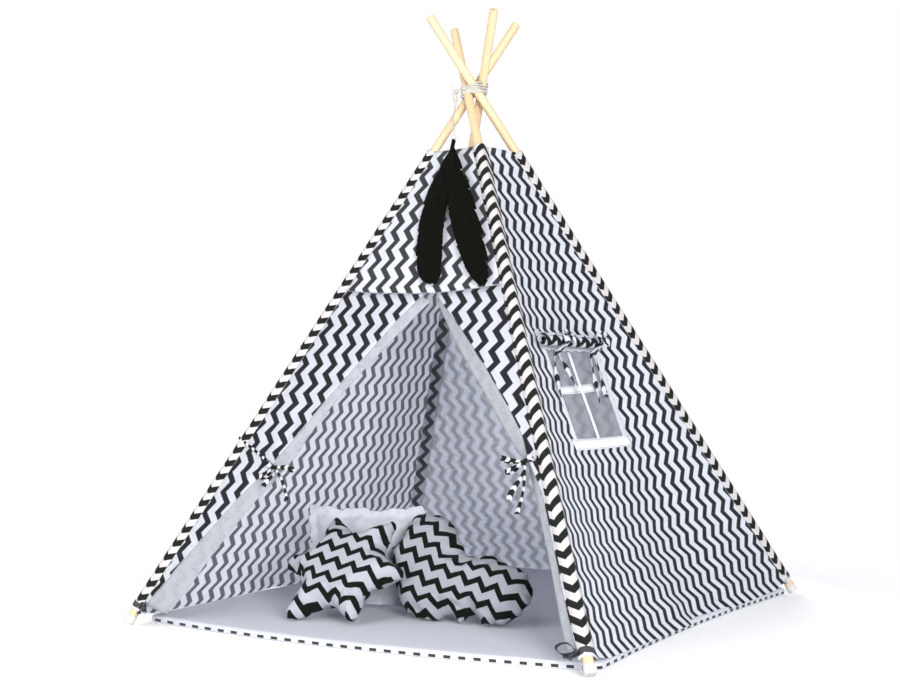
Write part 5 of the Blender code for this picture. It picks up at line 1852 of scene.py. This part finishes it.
@dataclass
class Crown:
    """The lashing at the crossing, and the cord with its bead and two feathers."""

    band_height: float = 0.021
    band_thick: float = 0.0022
    band_turns: Sequence[float] = (-0.0078, -0.0036, 0.0006, 0.0048, 0.0088)
    strand: float = 0.0033
    slant_strand: float = 0.0021
    knot_strand: float = 0.0027
    fray: float = 0.0013
    frays: int = 7
    knot_radius: float = 0.0075
    knot_forward: float = 0.020
    cord_radius: float = 0.0025
    bead_radius: float = 0.0070
    bead_height: float = 1.17702
    bead_lift: float = 0.024
    cord_points: Sequence[tuple[float, float, float]] = (
        (-0.0370, -0.0350, -0.0500), (-0.0290, -0.0560, -0.0760), (-0.0150, -0.0790, -0.0990),
    )

    @property
    def knot_centre(self) -> Vector:
        """The knot sits against the lashing's left side, forward of the middle."""
        way = TENT.direction(Corner.BACK_RIGHT)
        lean = abs(way.x / way.z)
        snug = TENT.pole_radius * math.hypot(1, lean) + self.band_height / 2 * lean
        half = TENT.crossing_pass + TENT.seat + snug
        across = -half - self.band_thick - TENT.seat - self.knot_radius
        return Vector((across, -self.knot_forward, TENT.crossing))

    @property
    def bead_centre(self) -> Vector:
        """The bead lies in front of the top of the gable."""
        return TENT.point(Side.FRONT, 0.0, self.bead_height, self.bead_lift)

    def build_cord(self) -> None:
        """The twisted cord from the knot to the bead, and the bead on its end."""
        start = self.knot_centre - UP * (self.knot_radius + TENT.seat)
        end = self.bead_centre + UP * (self.bead_radius + TENT.seat)
        step = UP * (self.cord_radius * 4)
        through = [Vector(p) + UP * TENT.crossing for p in self.cord_points]
        path = smooth_path([start, start - step, *through, end + step, end], 18)
        fine = smooth_path(path, 120)
        radii = [self.cord_radius] * len(fine)
        cord = tube_piece("twisted_cord", fine, radii, TWINE.material(), 20, 2, 0.42, 95.0)
        place_piece(cord, "feather_drop", "cotton", "feather_cord")
        turns = steps(-math.pi / 2, math.pi / 2, 18)
        radius = self.bead_radius
        profile = [(max(0.0014, radius * math.cos(a)), radius * math.sin(a) * 0.94) for a in turns]
        place = Matrix.Translation(self.bead_centre)
        bead = lathe_piece("wood_bead", profile, place, BEAD.material(), 28, 0.02)
        place_piece(bead, "feather_drop", "bead", "cord_bead")
        runs_along(fine)[-1]

    def build_lashing(self) -> None:
        """Turns of cotton strip round the crossing, one slanting over the rest, and a knot."""
        turns = []
        for n, level in enumerate(self.band_turns):
            slant = 0.0012 * math.sin(n * 1.7 + 1)
            turns.append(self.wrap(0.0024 + 0.0005 * math.sin(n * 2.1), level, slant, self.strand))
        turns.append(self.wrap(0.0052, 0.0012, 0.0095, self.slant_strand))
        place_piece(joined("lashing_strands", turns), "crown", "cotton", "lashing_band")
        place_piece(self.knot(), "crown", "cotton", "lashing_knot")

    def wrap(self, off: float, level: float, slant: float, thick: float) -> Piece:
        """One turn drawn tight round the four rods.

        off is how far its middle lies off them, level its height from the crossing, slant
        how much it rises across the lashing and thick its radius.
        """
        rods = [TENT.axis(corner, TENT.crossing + level).xy for corner in Corner]
        reach = TENT.pole_radius + off
        ways = [Vector((math.cos(angle), math.sin(angle))) for angle in round_steps(72)[:-1]]
        path = [max(rods, key=way.dot) + way * reach for way in ways]
        for _ in range(3):
            path = [(a + b + c) / 3 for a, b, c in zip(path[-1:] + path[:-1], path, path[1:] + path[:1])]
        turn = []
        for x, y in path:
            rise = level + slant * (x / reach) + 0.0005 * ripple(x * 60, y * 60, level * 300)
            turn.append(Vector((x, y, TENT.crossing + rise)))
        turn.append(turn[0].lerp(turn[1], 0.02))
        return tube_piece("turn", turn, [thick] * len(turn), TWINE.material(), 14, 3, 0.30, 60.0)

    def knot(self) -> Piece:
        """Crossed turns of the strip and its frayed ends."""
        centre = self.knot_centre
        pieces = []
        for n, (tilt, size) in enumerate(((20, 0.0046), (-62, 0.0044), (85, 0.0036))):
            turn = Matrix.Rotation(math.radians(tilt), 3, "X")
            turn @= Matrix.Rotation(math.radians(25 * n), 3, "Z")
            ring = []
            for a in steps(0.0, math.tau * 0.985, 22):
                off = Vector((size * math.cos(a), 0.0016 * math.sin(2 * a), size * math.sin(a)))
                ring.append(centre + turn @ off)
            radii = [self.knot_strand] * len(ring)
            pieces.append(tube_piece("round", ring, radii, TWINE.material(), 12, 3, 0.3, 60.0))
        for n in range(self.frays):
            fall = 0.012 - 0.007 * n + 0.004 * math.cos(n * 3)
            end = centre + Vector((-0.012 - 0.003 * math.sin(n * 2.4), -0.012 + 0.0035 * n, fall))
            middle = centre.lerp(end, 0.55) + Vector((-0.003, 0.002 * math.sin(n), 0.003))
            radii = [self.fray * (1 - 0.7 * i / 9) for i in range(10)]
            line = smooth_path([centre, middle, end], 10)
            pieces.append(tube_piece("fray", line, radii, TWINE.material(), 8))
        return joined("lashing_knot_strands", pieces)

    def build_feathers(self) -> None:
        """Two dark feathers that hang side by side from the bead."""
        for feather in FEATHERS:
            feather.build(self)


@dataclass(frozen=True)
class Feather:
    """A flat feather: its fall, reach and width, its outline and how split its edges are.

    The outline gives, for each share of its fall, the share of its reach aside and the
    share of its full width.
    """

    name: str
    fall: float
    reach: float
    width: float
    start_x: float
    apart: float
    seed: float
    split_side: int
    splits: Sequence[float]
    split_depth: float
    outline: Sequence[tuple[float, float, float]]
    split_fade: float = 0.035
    notch: float = 0.003
    quill: float = 0.0040
    rachis: float = 0.0016
    barbs_fall: float = 0.30
    cup: float = 0.0045
    rows: int = 150
    tip_lift: float = 0.017

    def vane_edge(self, sign: int, share: float) -> float:
        """Half the vane's width on one side, split into barbs that have slipped apart."""
        vane = on_curve([(p[0], p[2]) for p in self.outline], share)
        half = (self.quill + (self.width - self.quill) * max(0.0, vane)) / 2
        wave = share * 19 + 0.8 * ripple(share * 11, self.seed, sign)
        deep = max(0.0, ripple(share * 6, self.seed + 3, sign * 2.0) + 0.55)
        tooth = 0.0009 * ripple(share * 90, self.seed, sign * 4.0)
        above = [at for at in self.splits if share >= at and sign == self.split_side]
        split = self.split_depth * sum(math.exp((at - share) / self.split_fade) for at in above)
        lost = self.notch * (wave % 1.0) ** 2.2 * deep + tooth + split
        return max(self.quill / 2, half - lost * smooth(0.1, 0.20, share))

    def build(self, crown: Crown) -> None:
        """Make the vane and its quill in one piece."""
        slope = abs(TENT.normal(Side.FRONT, crown.bead_height).cross(Vector((1, 0, 0))).z)
        top = crown.bead_height - (crown.bead_radius + TENT.seat) * slope
        rows, uvs, spine, radii = [], [], [], []
        for down in steps(0.0, 1.0, self.rows):
            z = top - self.fall * down
            lift = crown.bead_lift + (self.tip_lift - crown.bead_lift) * down
            lift += self.apart * min(1.0, down / 0.10)
            x = self.start_x + self.reach * on_curve([(p[0], p[1]) for p in self.outline], down)
            edges = self.vane_edge(-1, down), self.vane_edge(1, down)
            row, line = [], []
            for share in (j / 7 for j in range(-7, 8)):
                off = share * edges[share >= 0]
                low = max(z - self.barbs_fall * abs(off) * smooth(0.05, 0.2, down), top - self.fall)
                cup = self.cup * share * share + 0.0012 * ripple(down * 16, share * 2, self.seed)
                row.append(TENT.point(Side.FRONT, x + off, low, lift - cup))
                line.append((down * self.fall, off))
            rows.append(row)
            uvs.append(line)
            spine.append(TENT.point(Side.FRONT, x, z, lift + 0.0006))
            radii.append(self.rachis * (1 - 0.75 * down) + 0.0002)
        vane = grid_piece("vane", rows, uvs, [PLUME.material()], outward=Side.FRONT.outward)
        thicken(vane, 0.0010)
        rachis = tube_piece("rachis", spine, radii, QUILL.material(), 10)
        piece = joined("plume_" + self.name, [vane, rachis])
        place_piece(piece, self.name + "_feather", "feather", "feather_" + self.name)


FEATHERS = (
    Feather(
        "left", 0.365, 0.035, 0.078, -0.00215, 0.0, 0.0, -1, (0.18, 0.42, 0.60, 0.78), 0.005,
        (
            (0.00, 0.00, 0.00), (0.05, 0.00, 0.00), (0.09, 0.00, 0.25), (0.18, -0.09, 0.62),
            (0.32, -0.30, 0.90), (0.50, -0.34, 0.97), (0.68, -0.09, 1.00), (0.84, 0.31, 0.94),
            (0.94, 0.71, 0.68), (1.00, 1.00, 0.12),
        ),
    ),
    Feather(
        "right", 0.376, 0.178, 0.084, 0.00215, 0.004, 5.0, 1, (0.20, 0.33, 0.47, 0.645, 0.82), 0.011,
        (
            (0.00, 0.00, 0.00), (0.05, 0.01, 0.00), (0.09, 0.03, 0.25), (0.18, 0.10, 0.62),
            (0.32, 0.26, 0.90), (0.50, 0.45, 1.00), (0.68, 0.65, 0.95), (0.84, 0.83, 0.80),
            (0.94, 0.94, 0.48), (1.00, 1.00, 0.10),
        ),
    ),
)


@dataclass
class Mat:
    """The padded floor mat: soft rolled edges, a white top and a printed underside.

    The profile says how far each ring lies in from the edge, and its height, from below up.
    """

    half: float = 0.611
    front_bow: float = 0.060
    right_bow: float = 0.030
    corner: float = 0.042
    least_corner: float = 0.012
    puff: float = 0.0006
    edge_pull: float = 0.0008
    profile: Curve = (
        (0.30, 0.0), (0.020, 0.0), (0.006, 0.0), (0.0022, 0.0008), (0.0006, 0.0030), (0.0002, 0.0060),
        (0.0012, 0.0068), (0.0004, 0.0080), (0.0, 0.0100), (0.0008, 0.0125), (0.0030, 0.0152),
        (0.0070, 0.0170), (0.0150, 0.0176), (0.040, 0.0172), (0.10, 0.0170), (0.20, 0.0172),
        (0.34, 0.0170), (0.50, 0.0172),
    )

    def build(self) -> None:
        """Make the mat as a closed cushion."""
        rings = [self.outline(*level) for level in self.profile]
        uvs = [[(p.x, p.y) for p in ring + ring[:1]] for ring in rings]
        piece = ring_piece("mat_pad", rings, uvs, [MAT_COVER_PAINTED_SHADE.material()])
        place_piece(piece, "mat", "white_cloth", "floor_mat")

    def outline(self, inset: float, height: float) -> list[Vector]:
        """A square ring with round corners, bowed out at the front and right, a little uneven."""
        corner = max(0.01, self.corner - inset) if inset < 0.04 else self.least_corner
        middle = self.half - inset - corner
        ring: list[Place] = []
        for turn, (sx, sy) in enumerate(((1, 1), (-1, 1), (-1, -1), (1, -1))):
            for a in steps(turn * math.pi / 2, (turn + 1) * math.pi / 2, 8):
                ring.append((sx * middle + corner * math.cos(a), sy * middle + corner * math.sin(a)))
            (x, y), side = ring[-1], 2 * middle
            way_x, way_y = (0, side * sx) if turn % 2 else (-side * sy, 0)
            ring += [(x + way_x * share, y + way_y * share) for share in steps(0.0, 1.0, 40)[1:-1]]
        points = []
        for x, y in ring:
            front, right = max(0.0, -y / self.half) ** 8, max(0.0, x / self.half) ** 8
            y += self.front_bow * (x / self.half) ** 2 * front
            x -= self.right_bow * (1 - (y / self.half) ** 2) * right
            puff = self.puff * ripple(x * 9, y * 9, 2.0) * smooth(0.002, 0.010, height)
            pull = self.edge_pull * ripple(x * 26, y * 26, 5.0) if inset < 0.01 else 0.0
            off_x, off_y = (pull * (abs(value) > self.half - 0.05) for value in (x, y))
            points.append(Vector((x + off_x, y + off_y, height + puff)))
        return points


def smooth_loop(points: Sequence[Place], count: int) -> list[Vector]:
    """A closed smooth curve through points, with the same number of steps in each stretch."""
    loop = []
    for i in range(len(points)):
        near = [Vector((*points[(i + k - 1) % len(points)], 0)) for k in range(4)]
        loop += [p.xy for p in smooth_path(near, 3 * count + 1)[count : 2 * count]]
    return loop


def leaning_frame(
    middle_x: float, foot_y: float, lean: float, turn: float = 0.0, roll: float = 0.0, rise: float = 0.0
) -> Matrix:
    """A frame with Y up a cushion that leans back on its lower edge, Z to the front."""
    place = Matrix.Translation((middle_x, foot_y, 0.0)) @ Matrix.Rotation(math.radians(turn), 4, "Z")
    place @= Matrix.Rotation(math.radians(90.0 - lean), 4, "X") @ Matrix.Translation((0, rise, 0))
    return place @ Matrix.Rotation(math.radians(roll), 4, "Z")


@dataclass
class Cushion:
    """A stuffed cushion sewn from two flat faces along its outline."""

    name: str
    node: str
    slot: str
    outline: Sequence[Vector]
    thick: float
    place: Matrix
    finish: Finish
    seed: float
    print_turn: float = 0.0
    soft_reach: float = 0.075
    flange: float = 0.0
    spacing: float = 0.0105
    pressure: float = 4.0
    cap: float = 0.014
    ruffle: float = 0.009
    pucker: float = 0.0050
    seam: float = 0.0012
    pleat: float = 0.16
    lumps: float = 0.03
    frames: int = 16
    most_share: float = 0.54
    mat_top: float = 0.0175

    def build(self) -> None:
        """Sew, stuff and set down the cushion."""
        piece, rest = self.pouch()
        self.stuff(piece, rest)
        rounding = piece.modifiers.new("round", "SUBSURF")
        rounding.levels = rounding.render_levels = 1
        piece.data.transform(self.place)
        lowest = min(v.co.z for v in piece.data.vertices)
        piece.data.transform(Matrix.Translation(UP * (self.mat_top - lowest)))
        place_piece(piece, self.name, self.slot, self.node)

    def inside(self, points: np.ndarray) -> tuple[np.ndarray, np.ndarray]:
        """Which points lie inside the outline, and how far from it each point is."""
        ring = np.array([tuple(p) for p in self.outline])
        crossings, nearest = np.zeros(len(points), bool), np.full(len(points), 1e9)
        for a, b in zip(ring, np.roll(ring, -1, axis=0)):
            spans = (a[1] > points[:, 1]) != (b[1] > points[:, 1])
            rise = b[1] - a[1] if abs(b[1] - a[1]) > 1e-12 else 1e-12
            at = a[0] + (points[:, 1] - a[1]) / rise * (b[0] - a[0])
            crossings ^= spans & (points[:, 0] < at)
            way = b - a
            t = np.clip(((points - a) @ way) / (way @ way), 0, 1)
            nearest = np.minimum(nearest, np.linalg.norm(points - (a + t[:, None] * way), axis=1))
        return crossings, nearest

    def swell(self, far: float, x: float, y: float) -> float:
        """Half the thickness at a distance from the seam."""
        share = clamped((far - self.flange) / self.soft_reach)
        if far < self.flange:
            return self.seam
        crown = (1 - (1 - share) ** 2) ** 0.62
        pleat = self.pleat * ripple(x * 46, y * 46, self.seed) * (1 - share)
        pleat += self.lumps * ripple(x * 11, y * 11, self.seed)
        return max(self.seam, self.thick / 2 * crown * (1 + pleat))

    def pouch(self) -> tuple[Piece, np.ndarray]:
        """Two faces that share their puckered seam, a little fuller than flat, and their points."""
        middle = sum((Vector(p) for p in self.outline), Vector((0, 0))) / len(self.outline)
        ring = []
        for p in self.outline:
            way = (Vector(p) - middle).normalized()
            ring.append(Vector(p) + way * self.pucker * ripple(p[0] * 70, p[1] * 70, self.seed + 4))
        self.outline = ring
        low, high = (pick([tuple(p) for p in ring], axis=0) for pick in (np.min, np.max))
        grid = []
        for row in range(int((high[1] - low[1]) / (self.spacing * 0.866)) + 1):
            x = low[0] + (row % 2) * self.spacing / 2
            while x < high[0]:
                grid.append((x, low[1] + row * self.spacing * 0.866))
                x += self.spacing
        grid = np.array(grid)
        within, far = self.inside(grid)
        flat = ring + [Vector(tuple(p)) for p in grid[within & (far > self.spacing * 0.55)]]
        edges = [(i, (i + 1) % len(ring)) for i in range(len(ring))]
        found = delaunay_2d_cdt(flat, edges, [], 1, 1e-6)
        places = np.array([tuple(v) for v in found[0]])
        points, table = [], {}
        for i, ((x, y), far) in enumerate(zip(places, self.inside(places)[1])):
            sewn = far < 1e-5
            height = 0.0 if sewn else self.swell(far, x, y)
            bend = self.ruffle * ripple(x * 52, y * 52, self.seed + 8) * max(0.0, 1 - far / 0.05) ** 2
            for face in (1, -1):
                if face > 0 or not sewn:
                    points.append(Vector((x, y, bend + face * height)))
                table[i, face] = len(points) - 1
        faces = [[table[v, face] for v in t][::face] for face in (1, -1) for t in found[2]]
        turn = Matrix.Rotation(math.radians(self.print_turn), 2)
        uvs = [tuple(turn @ p.xy) for p in points]
        corners = [uvs[v] for face in faces for v in face]
        piece = mesh_piece(self.name + "_pouch", points, faces, corners, [self.finish.material()])
        return piece, np.array([tuple(p) for p in points])

    def stuff(self, piece: Piece, rest: np.ndarray) -> None:
        """Press the faces out with a short cloth simulation, and keep its result."""
        scene = bpy.context.scene
        cloth = piece.modifiers.new("stuffing", "CLOTH")
        for name, value in (
            ("quality", 6), ("mass", 0.25), ("tension_stiffness", 12), ("compression_stiffness", 6),
            ("bending_stiffness", 0.25), ("use_pressure", True), ("uniform_pressure_force", self.pressure),
        ):
            setattr(cloth.settings, name, value)
        cloth.settings.effector_weights.gravity = 0
        for number in range(1, self.frames + 1):
            scene.frame_set(number)
        shaped = piece.evaluated_get(bpy.context.evaluated_depsgraph_get()).to_mesh()
        moved = np.empty(len(rest) * 3, np.float64)
        shaped.vertices.foreach_get("co", moved)
        piece.modifiers.remove(cloth)
        scene.frame_set(1)
        step = moved.reshape(-1, 3) - rest
        length = np.maximum(np.linalg.norm(step, axis=1, keepdims=True), 1e-9)
        settled = rest + step * np.minimum(1.0, self.cap / length)
        most = self.thick * self.most_share
        settled[:, 2] = np.clip(settled[:, 2], -most, most)
        piece.data.vertices.foreach_set("co", settled.ravel())
        piece.data.update()


CLOUD_OUTLINE = (
    (0.06, 0.72), (0.09, 0.93), (0.20, 1.00), (0.33, 0.97), (0.44, 0.84), (0.53, 0.68),
    (0.62, 0.66), (0.72, 0.66), (0.84, 0.58), (0.96, 0.46), (1.00, 0.31), (0.97, 0.17),
    (0.88, 0.05), (0.75, 0.00), (0.66, 0.07), (0.57, 0.00), (0.50, 0.05), (0.40, 0.00),
    (0.28, 0.03), (0.19, 0.10), (0.11, 0.27), (0.04, 0.45), (0.00, 0.60),
)
PILLOW_OUTLINE = (
    (0.00, 0.00), (0.25, 0.03), (0.50, 0.045), (0.75, 0.03), (1.00, 0.00), (0.97, 0.25),
    (0.955, 0.50), (0.97, 0.75), (1.00, 1.00), (0.75, 0.97), (0.50, 0.955), (0.25, 0.97),
    (0.00, 1.00), (0.03, 0.75), (0.045, 0.50), (0.03, 0.25),
)


@dataclass
class Cushions:
    """A star, a cloud and a plain pillow that lean together on the mat."""

    star_radius: float = 0.172
    star_valley: float = 0.118
    star_wide: float = 1.07
    star_stretch: Sequence[float] = (1.0, 1.0, 1.10, 1.0, 1.0, 1.0)
    cloud_size: Place = (0.430, 0.285)
    pillow_size: Place = (0.320, 0.262)

    def build(self) -> None:
        """Make the three cushions."""
        Cushion(
            "star", "star_cushion", "print_cloth", self.star_outline(), 0.080,
            leaning_frame(-0.165, -0.475, 44.0, 0.0, -14.0, self.star_radius), CUSHION_PRINT_PAINTED_SHADE, 1.0, 86.0,
        ).build()
        Cushion(
            "cloud", "cloud_cushion", "print_cloth",
            smooth_loop(self.sized(CLOUD_OUTLINE, self.cloud_size), 6), 0.090,
            leaning_frame(0.098, -0.320, 28.0), CLOUD_PRINT_PAINTED_SHADE, 2.0, 108.0,
        ).build()
        Cushion(
            "pillow", "square_pillow", "white_cloth", self.pillow_outline(), 0.070,
            leaning_frame(-0.205, -0.245, 16.0, 14.0), PILLOW_WHITE_PAINTED_SHADE, 3.0, flange=0.026, pressure=0.0,
        ).build()

    @staticmethod
    def sized(outline: Sequence[Place], size: Place) -> list[Place]:
        """An outline of shares brought to its size, with its middle over the frame's."""
        return [((x - 0.5) * size[0], y * size[1]) for x, y in outline]

    def star_outline(self) -> list[Vector]:
        """Soft points round a circle."""
        ring = []
        count = 2 * len(self.star_stretch)
        for i in range(count):
            angle = math.pi / 2 + math.tau * (i + 0.5) / count
            radius = self.star_radius * self.star_stretch[i // 2] if i % 2 else self.star_valley
            ring.append((self.star_wide * radius * math.cos(angle), radius * math.sin(angle)))
        return smooth_loop(ring, 9)

    def pillow_outline(self) -> list[Vector]:
        """A square whose sides draw in between its corners."""
        ring = []
        for a, b in zip(PILLOW_OUTLINE, PILLOW_OUTLINE[1:] + PILLOW_OUTLINE[:1]):
            ring += [tuple(Vector(a).lerp(Vector(b), s / 6)) for s in range(6)]
        return [Vector(p) for p in self.sized(ring, self.pillow_size)]


@dataclass
class Studio:
    """The camera of the photograph, a white floor and soft lamps."""

    place: tuple[float, float, float] = (1.8911, -3.2243, 0.6173)
    yaw: float = -0.5485
    pitch: float = 0.011
    roll: float = -0.0086
    lens: float = 58.6
    sensor: float = 36.0
    floor_half: float = 14.0
    shadow_reach: float = 0.95
    white_reach: float = 1.5
    lamps: Sequence[tuple] = (
        ("key", (3.4, -3.4, 1.4), (-0.1, -0.1, 0.5), 1.6, 220.0, (1.0, 0.99, 0.98)),
        ("top", (-1.8, -3.4, 3.4), (0.0, 0.0, 0.9), 2.4, 36.0, (1.0, 0.985, 0.96)),
        ("door", (-0.3, -2.8, 0.7), (0.1, 0.2, 0.35), 1.0, 28.0, (1.0, 0.99, 0.98)),
        ("back", (-2.6, 3.4, 2.2), (0.0, 0.2, 0.5), 2.6, 150.0, (0.97, 0.98, 1.0)),
        ("fill", (4.6, -1.6, 2.4), (0.3, 0.0, 0.5), 3.0, 30.0, (0.95, 0.97, 1.0)),
    )

    def build_camera(self) -> None:
        """Set the camera where the photograph was taken from."""
        level, high = math.cos(self.pitch), math.sin(self.pitch)
        ahead = Vector((math.sin(self.yaw) * level, math.cos(self.yaw) * level, high))
        right = Vector((math.cos(self.yaw), -math.sin(self.yaw), 0))
        up = right.cross(ahead)
        tilted = right * math.cos(self.roll) + up * math.sin(self.roll)
        upright = up * math.cos(self.roll) - right * math.sin(self.roll)
        data = bpy.data.cameras.new("photo_camera")
        data.sensor_fit = "HORIZONTAL"
        data.sensor_width = self.sensor
        data.lens = self.lens
        data.clip_end = 100.0
        camera = bpy.data.objects.new("photo_camera", data)
        turn = Matrix((tilted, upright, -ahead)).transposed().to_4x4()
        camera.matrix_world = Matrix.Translation(self.place) @ turn
        bpy.context.scene.collection.objects.link(camera)
        bpy.context.scene.camera = camera

    def build_room(self) -> None:
        """Make the floor, the white surround and the lamps."""
        bpy.context.scene.view_settings.view_transform = "Standard"
        self.floor()
        self.surround()
        for lamp in self.lamps:
            self.lamp(*lamp)

    def floor(self) -> None:
        """A wide plain floor that shows white where no shadow falls."""
        corners = [Vector((*corner.value, 0)) * self.floor_half for corner in Corner]
        material = bpy.data.materials.new("studio_floor")
        material.use_nodes = True
        work = Wiring(material.node_tree)
        seen = Signal(work, work.add("LightPath").outputs["Is Camera Ray"])
        length = Signal(work, work.add("VectorMath", work.in_piece(), operation="LENGTH").outputs["Value"])
        white = length.between(self.shadow_reach, self.white_reach) * seen
        tone = work.mix(seen, (0.80, 0.80, 0.80), (0.96, 0.96, 0.965))
        look = {
            "Roughness": 1.0,
            "Specular IOR Level": 0.0,
            "Base Color": work.mix(white, tone, (0.0, 0.0, 0.0)),
            "Emission Color": (1.0, 1.0, 1.0),
            "Emission Strength": work.math("MAXIMUM", seen * 0.10, white),
        }
        work.feed_all(work.tree.nodes["Principled BSDF"], look)
        mesh_piece("studio_floor", corners, [(0, 1, 2, 3)], (), [material])

    @staticmethod
    def surround() -> None:
        """An even white surround that lights softly and shows white."""
        world = bpy.data.worlds.new("studio_surround")
        bpy.context.scene.world = world
        world.use_nodes = True
        world.node_tree.nodes.clear()
        work = Wiring(world.node_tree)
        path = work.add("LightPath")
        camera, glossy, through = (
            Signal(work, path.outputs[f"Is {kind} Ray"]) for kind in ("Camera", "Glossy", "Transmission")
        )
        shown = work.math("MAXIMUM", work.math("MAXIMUM", camera, glossy), through)
        light = Signal(work, work.add("Background", (0.93, 0.96, 1.0), 0.50).outputs[0])
        white = Signal(work, work.add("Background", (1.0, 1.0, 1.0)).outputs[0])
        blend = work.add("MixShader", shown, light, white)
        work.add("OutputWorld", Signal(work, blend.outputs[0]))

    @staticmethod
    def lamp(
        name: str, place: Sequence[float], aim: Sequence[float], size: float, power: float, tint: Colour
    ) -> None:
        """A large soft lamp that faces a point."""
        data = bpy.data.lights.new(name, "AREA")
        data.size = size
        data.energy = power
        data.color = tint
        lamp = bpy.data.objects.new(name, data)
        lamp.visible_camera = False
        turn = (Vector(aim) - Vector(place)).to_track_quat("-Z", "Y").to_matrix().to_4x4()
        lamp.matrix_world = Matrix.Translation(place) @ turn
        bpy.context.scene.collection.objects.link(lamp)


COVER = Cover()
WINDOW = Window()


def main() -> None:
    """Build the camera and the cord first, then every sub-assembly in order."""
    logging.basicConfig(level=logging.INFO, format="%(name)s: %(message)s")
    studio = Studio()
    studio.build_camera()
    crown = Crown()
    crown.build_cord()
    Poles().build()
    Sleeves().build()
    COVER.build()
    Door().build()
    WINDOW.build()
    FootRibbons().build()
    crown.build_lashing()
    crown.build_feathers()
    Mat().build()
    Cushions().build()
    studio.build_room()


if __name__ == "__main__":
    main()
